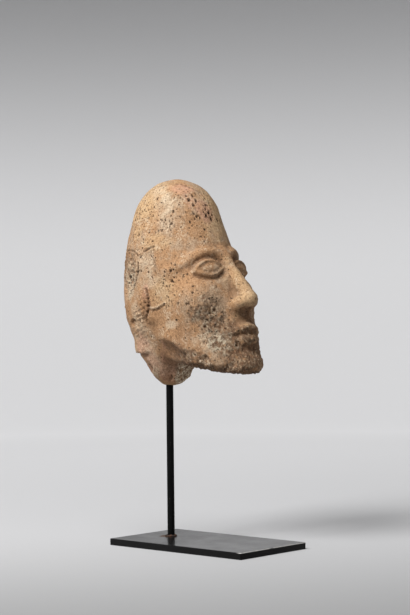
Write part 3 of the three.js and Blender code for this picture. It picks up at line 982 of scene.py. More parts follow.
@dataclass(frozen=True)
class Weathering:
    """Where the clay is pitted, cracked, flaked and stained.

    A place is (turn, height), and a pore or a ring in the crust is (turn, height, radius).
    """

    loss: float = 0.3
    pore_count: int = 520
    pore_seed: int = 5
    crown_pores: tuple[Vec, ...] = (
        (-16, 325, 1.5), (-22, 321, 1.8), (-14, 320.5, 1.5), (-18.5, 316, 1.6), (-24, 325, 1.1),
        (-11, 327, 1.1), (-20, 308, 1.1), (-17.5, 305, 1.2), (-20, 303, 1.0), (-7, 306, 1.6),
        (-2.5, 309, 1.6), (1, 307, 1.3), (-1.5, 303, 1.9), (7, 302, 1.5), (-25, 300, 1.2),
        (-12.5, 293, 1.2), (-14.5, 304, 1.1), (-6, 312, 1.2), (-6.5, 326, 0.9), (3, 319, 1.0),
        (-29, 321, 0.8), (-4, 316, 1.0), (-9, 309, 1.0),
    )
    temple_pores: tuple[Vec, ...] = (
        (-54, 302, 0.9), (-51.5, 300, 0.9), (-49.5, 302.5, 0.7), (-45.5, 301, 0.9), (-49, 298, 0.7),
        (-50.5, 305, 0.7), (-44, 306, 0.7), (-42, 303, 0.8), (-38.5, 304, 0.7), (-59.5, 302, 0.7),
        (-51.5, 297, 0.7), (-57.5, 291, 0.7), (-76, 302, 0.8), (-80, 297, 0.7), (-82, 292, 0.7),
        (-61.5, 291, 0.8), (-40.5, 296, 0.7),
    )
    cheek_pores: tuple[Vec, ...] = (
        (-45.5, 255, 1.6), (-43, 256, 1.1), (-44.5, 246, 1.7), (-42.5, 249, 1.0), (-50.5, 254, 1.0),
        (-51, 250, 0.8), (-40.5, 249, 0.8), (-30.5, 241, 0.9), (-31.5, 235, 1.2), (-37.5, 236, 0.9),
        (-40.5, 225, 1.2), (-34, 226, 0.9), (-47.5, 223, 0.8), (-43, 233, 0.8), (-32, 228, 0.8),
        (-28, 223, 0.9), (-35, 201, 0.9), (-29.5, 200, 0.9), (-49, 241, 0.9), (-34, 208, 0.8),
    )
    scar_pores: tuple[Vec, ...] = (
        (-71.5, 233, 1.0), (-70, 229.5, 1.5), (-73.5, 226.5, 1.2), (-70, 223.5, 1.6), (-75.5, 220.5, 1.5),
        (-71, 217.5, 1.7), (-77.5, 215, 1.3), (-73, 211.5, 1.6), (-82, 224, 1.1), (-84, 217, 1.2),
        (72, 229, 2.0), (74, 224, 2.2), (71, 218, 2.3), (75, 213, 2.0), (77, 208, 1.5),
    )
    crust_rings: tuple[Vec, ...] = (
        (-18.5, 219, 2.2), (-22.5, 210, 2.0), (-24, 204, 2.2), (-25.5, 201.5, 1.8), (-15.5, 210, 1.8),
        (-16, 203, 2.0), (-24.5, 190, 2.2), (-20.5, 214, 1.4), (-17.5, 207, 1.4), (-21.5, 200, 1.5),
        (-27, 217, 1.3), (-20, 187, 1.6), (-12, 196, 1.6), (-9, 187, 1.8), (-29.5, 179, 1.4),
        (20, 205, 1.8), (14, 196, 2.0), (24, 192, 1.6),
    )
    cracks: tuple[Crack, ...] = features(
        Crack,
        (((-85, 263), (-84.5, 256), (-88.5, 250), (-93.5, 243), (-96.5, 239)), 1.1, 1.9, 0.4, 1.0),
        (((-122, 275), (-110, 275.5), (-97, 274.5), (-91, 273), (-85, 270)), 0.8, 1.0, 0.4, 0.6),
        (((-76, 273.5), (-70, 275.5), (-62.5, 277.5)), 0.9, 1.0, 0.4, 0.9),
        (((-72, 238), (-70.5, 232), (-69, 225), (-70, 218), (-74, 210)), 1.2, 1.3, 0.5, 0.4),
        # a ridge by the ear's scar with a painted highlight on top, and under it a groove whose dark stain is
        # painted shadow
        (((-68, 222.4), (-64, 221.4), (-60, 222), (-55, 224), (-50.5, 226)), 1.1, -1.1, 0.0, 0.0),
        (((-68, 219.8), (-64, 218.8), (-60, 219.4), (-55, 221.6), (-51, 223.6)), 0.9, 0.8, 0.0, 0.4),
        (((-66, 270), (-60, 262), (-61, 254)), 0.6, 0.4, 0.0, 0.4),
        (((-99, 300), (-104, 291), (-101, 284)), 0.6, 0.6, 0.2, 0.7),
        (((-82, 332.5), (-65, 335.5), (-47, 336.5), (-30, 336.5),
          (-17, 334.5), (-9, 331), (-1, 328), (0, 323)), 0.9, 0.9, 0.3, 0.5),
        (((71, 236), (69.5, 230), (71, 224), (70, 217), (74, 210)), 1.2, 1.3, 0.5, 0.4),
        (((104, 281), (108, 277), (109, 270), (114, 265), (115, 258)), 0.7, 0.8, 0.3, 0.5),
        (((157, 297), (162, 294), (163, 288), (169, 285), (175, 285)), 0.6, 0.8, 0.2, 0.5),
    )
    chips: tuple[Chip, ...] = features(
        Chip,
        (-104, 205, 1.2, 7, 0.0, 0.5), (-152, 194, 1.2, 14, 0.3, -0.6), (-155, 176, 1.5, 12, -0.2, 0.5),
        (-112, 168, 1.2, 9, 0.4, -0.5), (-138, 166, 2.0, 11, 0.2, 0.2), (-60, 156, 0.7, 7, 0.5, -0.4),
        (40, 165, 1.8, 12, 0.3, 0.2), (100, 172, 1.8, 12, -0.3, 0.4), (150, 180, 1.8, 14, 0.2, -0.3),
        (-60, 338, 1.0, 12, 0.2, 0.1), (-118, 238, 1.1, 10, 0.2, 0.1), (112, 208, 1.2, 11, 0.1, 0.2),
        (-24, 172, 1.3, 7, 0.2, 0.3), (-12, 166, 1.1, 6, -0.2, 0.2), (16, 168, 1.3, 7, 0.2, 0.2),
        (30, 174, 1.3, 7, -0.2, 0.3), (-33, 176, 1.0, 6, 0.1, 0.2),
    )
    ledges: tuple[Ledge, ...] = features(Ledge, (-117, 180.5, 15, 3.5), (165, 185, 18, 1.1), (92, 178, 16, 2.0))
    rough_spots: tuple[Blot, ...] = features(
        Blot,
        (-75, 224, 7, 14), (-82, 214, 8, 8, 0, 0.9), (74, 222, 8, 14), (-97, 194, 11, 18, 0, 0.45, 0.5),
        (140, 186, 22, 12, 0, 0.6, 0.5), (-25, 181, 9, 4, -20, 0.8), (150, 200, 9, 6, 0, 0.7),
    )
    patches: dict[Paint, tuple[Blot, ...]] = field(default_factory=lambda: {
        Paint.OCHRE: features(
            Blot,
            (-95, 318, 26, 20, 0, 0.9, 0.6), (10, 310, 16, 30, -25, 0.9, 0.5), (-92, 292, 7, 9, 0, 0.7),
            (-52, 236, 12, 12, 15, 0.7, 0.6), (-60, 282, 16, 8, 0, 0.6), (-84, 331, 22, 12, 0, 0.8, 0.6),
            (-3, 235, 9, 34, 0, 0.8, 0.5), (100, 300, 26, 24, 0, 0.8, 0.6), (170, 262, 24, 30, 0, 0.7, 0.6),
            (50, 225, 18, 22, 0, 0.7, 0.6),
        ),
        Paint.ORANGE: features(
            Blot,
            (-60, 212, 15, 17, 10, 1.0, 0.5), (-45, 203, 12, 14, -15, 1.0, 0.5), (-72, 238, 3, 5),
            (-37, 192, 10, 6, -25, 0.9, 0.5), (-30, 240, 10, 12, 0, 0.6, 0.6),
            (-95, 262, 8, 12, 0, 0.5, 0.6), (-22, 296, 14, 8, 0, 0.6, 0.6), (48, 206, 16, 16, 0, 0.9, 0.5),
            (120, 240, 20, 16, 0, 0.7, 0.6), (-150, 230, 18, 18, 0, 0.7, 0.6),
        ),
        Paint.PALE_AND_HIGHLIGHT: features(
            Blot,
            (-49, 316, 10, 12, 20, 0.9, 0.6), (-50, 300, 9, 8, 0, 0.5, 0.5), (-70, 262, 8, 13, 0, 0.7),
            (-45, 206, 5, 4, 0, 0.9), (-20, 191, 13, 11, -20, 1.0, 0.4), (-25, 212, 7, 7, 0, 0.5),
            (-70, 245, 10, 7, 0, 0.5), (-88, 180, 9, 16, 0, 0.9), (-108, 186, 10, 12, 0, 0.6),
            (-80, 171, 9, 12, 0, 0.7), (-93, 213, 8, 13, 0, 0.8), (-105, 246, 9, 18, 0, 0.9),
            (-84, 262, 10, 20, 0, 0.5, 0.6), (40, 300, 14, 14, 0, 0.7, 0.6),
            (130, 275, 16, 18, 0, 0.7, 0.6), (-62, 330, 8, 8, 0, 0.7, 0.6),
            (-150, 290, 14, 20, 0, 0.7, 0.6), (90, 240, 12, 10, 0, 0.6, 0.6),
        ),
        Paint.PINK: features(
            Blot,
            (-26, 331, 11, 5), (-5, 307, 9, 8), (-9.5, 314, 8, 7, 0, 0.9), (-22, 320, 6, 7, 0, 0.6),
            (-73, 236, 4, 7, 0, 0.8), (-95, 182, 9, 16, 0, 0.9), (-82, 170, 8, 8, 0, 0.8),
            (120, 310, 14, 10, 0, 0.6, 0.6), (-160, 240, 18, 16, 0, 0.6, 0.6), (60, 195, 12, 10, 0, 0.6),
        ),
        Paint.BROWN: features(
            Blot,
            # the first two brown patches lie in the neck's hollows under the jaw: partly brown clay, partly
            # painted shade
            (-42, 177, 13, 17, 0, 0.8, 0.5), (42, 177, 13, 17, 0, 0.8, 0.5), (-72, 223, 4.5, 13, 0, 0.7),
            (-37, 196, 8, 10, 0, 0.3), (74, 218, 7, 14, 0, 0.8), (-172, 206, 22, 12, 0, 0.4, 0.6),
        ),
        Paint.CRUST: features(
            Blot,
            (-20, 209, 12, 18, 0, 1.0, 0.3), (-15, 190, 15, 13, 0, 1.0, 0.3),
            (-5, 180, 22, 11, 0, 1.0, 0.4), (-30, 218, 5, 12, 0, 0.7, 0.5), (-24, 230, 4, 8, 0, 0.5, 0.6),
            (-12, 200, 14, 10, 0, 0.8, 0.4), (8, 183, 18, 12, 0, 0.8, 0.4), (18, 205, 12, 16, 0, 0.6, 0.4),
            (-31, 178, 12, 5, -12, 0.8, 0.4), (0, 219, 7, 5, 0, 0.4), (-140, 214, 16, 10, 0, 0.5, 0.5),
            (-2, 196, 12, 9, 0, 0.9, 0.4), (-4, 172, 18, 9, 0, 1.0, 0.4), (-112, 257, 14, 17, 0, 0.62, 0.3),
        ),
        Paint.POROUS: features(
            Blot,
            (-50, 301, 14, 11, 0, 1.0, 0.5), (-45, 250, 12, 12, 0, 0.9, 0.5),
            (-15, 312, 16, 18, 0, 0.5, 0.6), (-80, 300, 20, 26, 0, 0.8, 0.6),
            (-40, 226, 14, 14, 0, 0.6, 0.6), (-70, 262, 14, 20, 0, 0.6, 0.6),
            (-18, 210, 16, 22, 0, 1.0, 0.5), (80, 290, 26, 30, 0, 0.7, 0.6),
            (150, 240, 30, 30, 0, 0.7, 0.6), (-130, 260, 24, 34, 0, 0.6, 0.6),
        ),
    })


class Wear:
    """Depth lost and masks painted at each point of the head, one kind of damage after another."""

    BREAK_WAY = (0.743, -0.669, 0)

    def __init__(self, head: "ClayHead", points: Array, normal: Array) -> None:
        """Starts with a soft unevenness of the whole surface and the painted patches.

        Args:
            head: The head, which finds places on its surface.
            points: Points of its form, in millimetres.
            normal: Their unit normals.
        """
        a, b = Noise(3), Noise(11)
        self.head, self.spec, self.points, self.normal = head, head.weathering, points, normal
        self.middle = a(points, 9, 3)
        self.small, self.grit = b(points, 3.2, 2), b(points, 1.5, 2)
        self.grains, self.coarse = b.grains(points, 3.6), a.grains(points, 9.0)
        self.scales = a.grains(points, 3.4)
        self.forward = points @ np.array(self.BREAK_WAY) + 2 * self.middle
        self.depth = (
            self.spec.loss + 0.42 * a(points, 26, 2) + 0.24 * self.middle + 0.13 * self.small + 0.07 * self.grit
        )
        self.masks = {name: self.spots(self.spec.patches.get(name, ())) for name in Paint}
        self.pit = np.zeros(points.shape[:-1])

    def result(self) -> tuple[Array, dict[Paint, Array]]:
        """Goes through all the damage.

        Returns:
            Depths in millimetres, negative where clay stands proud, and masks.
        """
        self.scars()
        self.fracture()
        edge = self.jaw()
        self.chips()
        self.spall()
        self.crust()
        self.cracks()
        self.rings()
        self.pores()
        # painted shade: pit colour on the jaw's rim where it faces down
        self.masks[Paint.PIT_AND_SHADE] = np.maximum(self.pit, 0.3 * edge * smoothstep(self.normal[..., 2], -0.1, -0.8))
        return self.depth, self.masks

    def cover(self, name: Paint, values: Array) -> None:
        """Raises a mask to the values wherever they are greater."""
        self.masks[name] = np.maximum(self.masks[name], values)

    def shaken(self, far: float) -> Array:
        """The points moved by noise of so many millimetres, so that edges wander."""
        return self.points + far * np.stack([self.middle, self.small, self.grit], -1)

    def spots(self, patches: tuple[Blot, ...]) -> Array:
        """Greatest of some patches' masks at each point."""
        total = np.zeros(self.points.shape[:-1])
        for blot, centre in zip(patches, self.head.at(patches) if patches else ()):
            total = np.maximum(total, blot.mask(self.points, centre, self.middle))
        return total

    def scars(self) -> None:
        """Rough clay in the ears' scars and a few other spots: clumps, grains and rungs 4.2 mm apart."""
        slant = self.points[..., 2] + 0.3 * self.points[..., 1] + 1.5 * self.small
        rungs = np.sin(2 * pi * slant / 4.2)
        lumps = 1.0 * (self.coarse - 0.5) + 1.3 * (self.grains - 0.5) + 0.55 * rungs
        self.depth += self.spots(self.spec.rough_spots) * (lumps + 0.5 * self.small + 0.35 * self.grit)

    def broken(self) -> Array:
        """Mask of the neck's broken faces: near one of the break planes, facing its way, below the nape."""
        total = np.zeros(self.points.shape[:-1])
        for through, way, _ in self.head.form.breaks:
            near = 1 - smoothstep(np.abs(plane(self.points, through, way)) + 0.4 * self.middle, 0.9, 1.6)
            facing = self.normal @ (np.array(way) / np.linalg.norm(way))
            total = np.maximum(total, near * smoothstep(facing, 0.75, 0.9))
        return total * smoothstep(self.points[..., 2] + 6 * self.middle, 202, 194)

    def fracture(self) -> None:
        """Broken neck: sharp relief and raw clay on the fresh break, less relief and pink skin on the old one."""
        broken = self.broken()
        fresh = np.maximum(broken, smoothstep(self.points[..., 2], 158, 153)) * smoothstep(self.forward, -26, -23)
        self.masks[Paint.BREAK] = fresh
        self.cover(Paint.PINK, 0.8 * np.maximum(broken - fresh, 0))
        relief = 2.6 * (self.coarse - 0.62) + 1.8 * (self.grains - 0.5) + 0.5 * self.grit
        self.depth += (0.35 * broken + 0.65 * fresh) * relief

    def jaw(self) -> Array:
        """Chipped and crusted lower rim of the jaw, in front of the neck; its brown is partly brown clay, partly
        painted shade under the jaw.

        Returns:
            Its mask.
        """
        q = self.head.form.to_head(self.points)
        rim = 1 - smoothstep(np.abs(self.head.form.under_jaw(q)) + 3 * self.middle, 3.0, 10.0)
        edge = rim * smoothstep(q[..., 1], 12, 0)
        relief = 1.6 * np.maximum(self.middle - 0.05, 0) + 1.9 * (self.grains - 0.5) + 1.2 * (self.coarse - 0.6)
        self.depth += edge * (relief + 0.4 * self.small)
        # crust and pores on the rim; its brown is partly brown clay, partly painted shade
        for name, share in ((Paint.CRUST, 0.6), (Paint.POROUS, 1.0), (Paint.BROWN, 0.85)):
            self.cover(name, share * edge)
        return edge

    def chips(self) -> None:
        """Flat flakes knocked off, with a grainy floor; in the neck they show raw clay."""
        centres = self.head.at(self.spec.chips)
        _, ways = self.head.form.slope(centres)
        ways /= np.linalg.norm(ways, axis=1, keepdims=True)
        low, ahead = smoothstep(self.points[..., 2], 190, 178), smoothstep(self.forward, -30, -24)
        for chip, centre, way in zip(self.spec.chips, centres, ways):
            cut = chip.cut(self.shaken(0.4), centre, way)
            self.depth += cut + 0.5 * np.minimum(cut, 1) * (self.grains - 0.5)
            self.cover(Paint.BREAK, 0.7 * (smoothstep(cut, 0.05, 0.5) * low * ahead))

    def spall(self) -> None:
        """Patch flaked off the back of one side: sunk, grainy and crusted."""
        flaked = smoothstep(self.head.form.spall(self.points) + 1.2 * self.small, 0.8, -0.2)
        relief = 1.1 + 0.6 * self.small + 1.1 * (self.grains - 0.5) + 0.5 * (self.coarse - 0.6)
        self.depth += flaked * relief
        self.cover(Paint.CRUST, 0.75 * flaked)

    def crust(self) -> None:
        """Relief of the crust: scales 3.4 mm apart, on uneven ground."""
        relief = 1.7 * (self.scales - 0.6) + 0.6 * self.middle + 0.5 * self.small + 0.4 * self.grit
        self.depth += self.masks[Paint.CRUST] * relief

    def cracks(self) -> None:
        """Grooves exp(-f^2) deep at f widths from their path, with lips at 2.2 widths; a ridge is painted pale on
        top, a painted highlight.
        """
        points = self.shaken(0.7)
        for crack in self.spec.cracks:
            far = crack.far(points, self.head.at(crack.path))
            self.depth += crack.depth * np.exp(-(far**2)) - crack.lip * np.exp(-((far - 2.2) ** 2))
            self.pit = np.maximum(self.pit, crack.stain * np.exp(-((far * 1.1) ** 2)))
            # painted highlight: a ridge is painted pale along its top
            if crack.depth < 0:
                self.cover(Paint.PALE_AND_HIGHLIGHT, 0.9 * np.exp(-(far**2)))

    def rings(self) -> None:
        """Rings in the crust: a dark dent with a raised, pale rim at its radius."""
        for turn, height, radius in self.spec.crust_rings:
            centre = self.head.at(((turn, height),))[0]
            far = np.linalg.norm(self.points - centre, axis=-1) / radius + 0.12 * self.small
            self.depth += 0.8 * np.exp(-((far / 0.55) ** 2)) - 0.35 * np.exp(-(((far - 1.05) / 0.35) ** 2))
            self.pit = np.maximum(self.pit, 0.8 * np.exp(-((far / 0.6) ** 2)))
            self.cover(Paint.PALE_AND_HIGHLIGHT, 0.8 * np.exp(-(((far - 1.15) / 0.35) ** 2)))

    def scattered(self) -> tuple[Array, Array]:
        """Seeded small pores on the surface, more of them where the clay is porous.

        Returns:
            The pores' places and radii, in millimetres.
        """
        p, rng = self.points, np.random.default_rng(self.spec.pore_seed)
        tall = np.linalg.norm(np.diff(p, axis=0, append=p[-1:]), axis=-1)
        area = tall * np.linalg.norm(p - np.roll(p, 1, 1), axis=-1)
        weight = (area * (0.35 + 2.2 * self.masks[Paint.POROUS])).ravel()
        chosen = rng.choice(weight.size, self.spec.pore_count, replace=False, p=weight / weight.sum())
        return p.reshape(-1, 3)[chosen], rng.gamma(3.0, 0.15, self.spec.pore_count) + 0.25

    def pores(self) -> None:
        """Round dents with dark floors at the named places and the scattered ones, paler in the ears' scars."""
        named = self.spec.crown_pores + self.spec.temple_pores + self.spec.cheek_pores + self.spec.scar_pores
        places, radii = self.scattered()
        places = np.concatenate([self.head.at(named), places])
        radii = np.concatenate([[pore[2] for pore in named], radii])
        dark = np.ones(len(radii))
        dark[len(named) - len(self.spec.scar_pores):len(named)] = 0.45
        for place, radius, stain in zip(places, radii, dark):
            far = np.linalg.norm(self.points - place, axis=-1) / radius + 0.15 * self.grit
            dent = 1 - smoothstep(far, 0.55, 1.15)
            self.depth += min(radius, 1.8) * 0.9 * dent
            self.pit = np.maximum(self.pit, stain * min(1.0, 0.45 + 0.5 * radius) * dent)


@dataclass
class ClayHead:
    """The clay head: its form, the wear carved into it and the patches painted on it."""

    form: HeadForm = field(default_factory=HeadForm)
    weathering: Weathering = field(default_factory=Weathering)
    core_height: float = 240.0
    socket_top: float = 205.3
    socket_angle: float = 0.042
    reach: float = 135.0
    reach_down: float = 110.0
    grid: tuple[int, int] = (430, 230)
    quick_grid: tuple[int, int] = (210, 118)
    crowd_around: tuple[Vec, ...] = ((0.0, 0.6, 1.5), (-0.95, 0.9, 1.0))
    crowd_down: tuple[Vec, ...] = ((1.75, 0.7, 0.6), (0.5, 0.5, 0.3))
    margin: float = 0.15
    most_proud: float = 0.7
    rim_wear: tuple[float, ...] = (0.66, 0.33, 0.1, 0.0)

    def build(self) -> bpy.types.Object:
        """Makes the finished piece."""
        around, down = self.grid
        rings = self.rings(around, down)
        _, normal = self.form.slope(rings)
        normal /= np.sqrt((normal**2).sum(-1, keepdims=True))
        depth, paints = Wear(self, rings, normal).result()
        box = rings.reshape(-1, 3)
        inside = np.minimum(rings - box.min(0), box.max(0) - rings).min(-1)
        free = smoothstep(inside, 0.6, 2.5)
        depth = np.maximum(depth, -self.most_proud * free) - free * self.ledges(rings)
        calm = np.ones(down)
        calm[-len(self.rim_wear):] = self.rim_wear
        worn = rings - normal * ((depth + self.margin) * calm[:, None])[..., None]
        crown, rim = worn[0].mean(0), worn[-1]
        roof = rim.copy()
        roof[:, 2] = self.socket_top
        wall = rim * [1, 1, 0] + [0, 0, rim[:, 2].max() + 1.0]
        body = np.concatenate([worn[1:], wall[None], roof[None]])
        piece = skin("clay_head", crown, body, np.array([*ROD_AT, self.socket_top]))
        # painted shade in the hollows
        paints[Paint.HOLLOW_SHADE] = self.shaded_hollows(worn, normal)
        for name, values in paints.items():
            flat = np.concatenate([values[1:], np.zeros((2, around))]).ravel()
            paint(piece, name.value, np.concatenate([[values[0].mean()], flat, [0.0]]))
        piece.data.materials.append(FiredClay().material())
        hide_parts("terracotta_head")
        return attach(piece, "root")

    def rings(self, around: int, down: int) -> Array:
        """Points of the form on rings from the crown to the rim of the rod's socket.

        Rays leave a core point on the rod's axis at azimuth a and polar angle t, so a point is
        core + r (sin t sin a, -sin t cos a, cos t); the last ring stands on the socket's wall.

        Args:
            around: Points in a ring.
            down: Rings.

        Returns:
            Array of shape (down, around, 3), in millimetres.
        """
        azimuth = Spread(-pi, pi, self.crowd_around).places(around, True)
        polar = Spread(0.0, pi - self.socket_angle, self.crowd_down).places(down, False)
        t, a = np.meshgrid(polar, azimuth, indexing="ij")
        ways = np.stack([np.sin(t) * np.sin(a), -np.sin(t) * np.cos(a), np.cos(t)], -1)
        core = np.array([*ROD_AT, self.core_height])
        points = core + ways * self.strike(core, ways, self.reach)[..., None]
        x, y = ROD_AT[0] + BORE * np.sin(azimuth), ROD_AT[1] - BORE * np.cos(azimuth)
        foot = np.stack([x, y, np.full(around, self.core_height)], -1)
        down_way = np.broadcast_to(np.array([0.0, 0.0, -1.0]), foot.shape)
        points[-1] = foot + down_way * self.strike(foot, down_way, self.reach_down)[..., None]
        for _ in range(4):
            beside = np.roll(points, 1, 1) + np.roll(points, -1, 1)
            mean = (beside[1:-1] + points[:-2] + points[2:]) / 4
            points[1:-1] = self.form.snap(points[1:-1] + 0.6 * (mean - points[1:-1]), 1)
            points[0] = points[1].mean(0) * [1, 1, 0] + [0, 0, points[0, 0, 2]]
        points[:-1] = self.form.snap(points[:-1], 2)
        return points

    def strike(self, start: Array, ways: Array, reach: float, steps: int = 26) -> Array:
        """Distance along each ray to the form's outermost surface, walked inwards by the form's own value.

        Args:
            start: Where the rays start.
            ways: Their unit directions.
            reach: A distance that lies outside the form.
            steps: How many steps are taken.

        Returns:
            One distance per ray.
        """
        far = np.full(ways.shape[:-1], reach)
        for _ in range(steps):
            value = self.form.value(start + ways * far[..., None])
            far = far - np.where(value > 0, np.maximum(value * 0.7, 0.02), value)
        return far

    def shaded_hollows(self, worn: Array, normal: Array) -> Array:
        """How far each point lies below the mean of its neighbours 2 and 5 steps away, 0 to 1: the mask of
        painted shade in the hollows.
        """
        total = np.zeros(worn.shape[:-1])
        for step, gain in ((2, 1.4), (5, 0.5)):
            beside = (np.roll(worn, step, 1) + np.roll(worn, -step, 1)) / 2
            above = np.concatenate([worn[:step], worn[:-step]])
            below = np.concatenate([worn[step:], worn[-step:]])
            total += gain * (((beside + (above + below) / 2) / 2 - worn) * normal).sum(-1)
        return np.clip(total, 0, 1)

    def at(self, places: tuple) -> Array:
        """Outermost surface points at places: rod's axis + r (sin a, -cos a, 0) at the given height.

        Args:
            places: Features with a turn and a height, or tuples that start with them.

        Returns:
            Array of shape (n, 3), in millimetres.
        """
        pairs = [place[:2] if isinstance(place, tuple) else (place.turn, place.height) for place in places]
        turn = np.radians([pair[0] for pair in pairs])
        start = np.array([[*ROD_AT, pair[1]] for pair in pairs], float)
        ways = np.stack([np.sin(turn), -np.cos(turn), np.zeros(len(turn))], -1)
        return start + ways * self.strike(start, ways, self.reach)[..., None]

    def ledges(self, p: Array) -> Array:
        """How far the lips above the breaks stand proud at each point, in millimetres."""
        ledges = self.weathering.ledges
        noise = Noise(3)(p, 9, 3)
        return sum(ledge.proud(p, centre, noise) for ledge, centre in zip(ledges, self.at(ledges)))


@dataclass
class Rod:
    """The upright rod, from the plate into the head."""

    radius: float = 3.4
    foot: float = PLATE_TOP
    top: float = 205.0
    chamfer: float = 0.4
    around: int = 48
    along: int = 60

    def build(self) -> bpy.types.Object:
        """Makes the rod: a profile of radius and height turned about its axis, chamfered at the top."""
        shaft = np.linspace(self.top - 2, self.foot + 1, self.along)
        z = np.concatenate([[self.top, self.top - self.chamfer], shaft, [self.foot]])
        r = np.full(z.shape, self.radius)
        r[0] -= self.chamfer
        rings = circle(*ROD_AT, r, z, self.around)
        piece = skin("steel_rod", np.array([*ROD_AT, self.top]), rings, np.array([*ROD_AT, self.foot]))
        piece.data.materials.append(BlackSteel("rod_black", linear(7, 7, 7), 0.42, 0.06).material())
        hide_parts("mount_rod")
        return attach(piece, "root")


@dataclass
class Plate:
    """The flat base plate with eased edges."""

    width: float = 91.0
    length: float = 162.0
    thick: float = PLATE_TOP
    bevel: float = 0.5
    corner: float = 1.0
    least: float = 0.15

    def ring(self, inset: float, z: float) -> Array:
        """Rectangle with round corners, counter-clockwise, shrunk by an inset."""
        w, l = self.width / 2 - inset, self.length / 2 - inset
        r = max(self.corner - inset, self.least)
        turn = np.radians(np.linspace(0, 90, 7))
        arcs = []
        for cx, cy, start in ((w - r, l - r, 0), (r - w, l - r, 90), (r - w, r - l, 180), (w - r, r - l, 270)):
            a = turn + radians(start)
            arcs.append(np.stack([cx + r * np.cos(a), cy + r * np.sin(a), np.full(len(a), z)], -1))
        return np.concatenate(arcs)

    def build(self) -> bpy.types.Object:
        """Makes the plate: nested rings over the top, round the bevels and under the foot."""
        b, t, e = self.bevel, self.thick, self.least
        upper = [(b - b * sin(a), t - b + b * cos(a)) for a in np.radians(np.linspace(0, 90, 6))]
        steps = [(20.0, t), (4.0, t), (b + e, t), *upper, (0.0, t - b - e), (0.0, b + e)]
        steps += [(i, t - z) for i, z in reversed(upper)] + [(b + e, 0.0), (4.0, 0.0)]
        rings = np.stack([self.ring(i, z) for i, z in steps])
        piece = skin("steel_plate", np.array([0, 0, t]), rings, np.array([0.0, 0, 0]))
        edge = np.array([1.0 if 0 < t - z <= b else 0.0 for _, z in steps])
        paint(piece, "edge", np.concatenate([[0.0], np.repeat(edge, rings.shape[1]), [0.0]]))
        piece.data.materials.append(PlateSteel("plate_black", linear(12, 11, 11), 0.3, 0.1).material())
        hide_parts("base_plate")
        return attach(piece, "root")


@dataclass
class Weld:
    """The uneven bead of weld metal around the rod's foot."""

    inner: float = BORE
    outer: float = 5.7
    height: float = 1.5
    around: int = 96
    across: int = 12

    def build(self) -> bpy.types.Object:
        """Makes the bead: a hump from the inner radius to the outer, both uneven round the rod.

        Its section is z = h sqrt(1 - s^2) over the outer three quarters, and h over the rest, closed below.
        """
        around = self.around
        a = np.arange(around) * 2 * pi / around
        lump = 0.5 * np.sin(3 * a + 0.7) + 0.3 * np.sin(7 * a + 2.1) + 0.2 * np.sin(11 * a)
        outer = self.outer - 0.1 + 0.4 * lump
        height = self.height * (0.96 + 0.2 * np.sin(5 * a + 1.1) + 0.05 * np.sin(17 * a))
        u = np.linspace(0, 1, self.across)[:, None]
        r = self.inner + (outer - self.inner) * u
        z = height * np.sqrt(np.clip(1 - np.clip((u - 0.25) / 0.75, 0, 1) ** 2, 0, 1))
        r = np.concatenate([r, r[:1]])
        z = np.concatenate([z, np.zeros((1, around))])
        r, z = r[::-1], z[::-1]
        rings = np.stack([ROD_AT[0] + r * np.cos(a), ROD_AT[1] + r * np.sin(a), PLATE_TOP + z], -1)
        rows = len(rings)
        i, j = np.meshgrid(np.arange(rows), np.arange(around), indexing="ij")
        upper, lower, right = i * around, (i + 1) % rows * around, (j + 1) % around
        quads = np.stack([upper + j, upper + right, lower + right, lower + j], -1).reshape(-1, 4)
        mesh = bpy.data.meshes.new("weld_ring")
        mesh.from_pydata((rings.reshape(-1, 3) * MM).tolist(), [], quads.tolist())
        mesh.polygons.foreach_set("use_smooth", np.ones(len(quads), bool))
        piece = placed("weld_ring", mesh)
        piece.data.materials.append(WeldRust().material())
        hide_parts("weld_bead")
        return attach(piece, "root")


@dataclass
class View:
    """The camera at the photograph's viewing angle."""

    azimuth: float = -48.0
    pitch: float = 0.128
    roll: float = -0.588
    aside: float = 0.67
    height: float = 217.8
    distance: float = 1598.0
    lens: float = 101.15
    sensor: float = 36.0
    clip: Pair = (0.05, 50.0)

    def build(self) -> None:
        """Places the camera and makes it the scene's."""
        turn, pitch, roll = radians(self.azimuth), radians(self.pitch), radians(self.roll)
        back, right, up = Vector((sin(turn), -cos(turn), 0)), Vector((cos(turn), sin(turn), 0)), Vector((0, 0, 1))
        ahead = -back * cos(pitch) + up * sin(pitch)
        over = right.cross(ahead)
        side = right * cos(roll) + over * sin(roll)
        top = -right * sin(roll) + over * cos(roll)
        data = bpy.data.cameras.new("view")
        data.lens, data.sensor_width = self.lens, self.sensor
        data.clip_start, data.clip_end = self.clip
        camera = placed("view", data)
        where = (back * self.distance + right * self.aside + up * self.height) * MM
        camera.matrix_world = Matrix.Translation(where) @ Matrix((side, top, -ahead)).transposed().to_4x4()
        bpy.context.scene.camera = camera


@dataclass(frozen=True)
class Lamp:
    """A soft rectangular light, placed by azimuth, elevation and distance from the head."""

    name: str
    azimuth: float
    elevation: float
    distance: float
    size: float
    power: float
    aim: Vec = (0.0, 0.02, 0.2)

    def build(self) -> None:
        """Places the light, aimed at the head."""
        a, e = radians(self.azimuth), radians(self.elevation)
        way = Vector((sin(a) * cos(e), -cos(a) * cos(e), sin(e)))
        data = bpy.data.lights.new(self.name, "AREA")
        data.shape, data.size, data.energy = "SQUARE", self.size, self.power
        turn = way.to_track_quat("Z", "Y").to_matrix().to_4x4()
        placed(self.name, data).matrix_world = Matrix.Translation(Vector(self.aim) + way * self.distance) @ turn


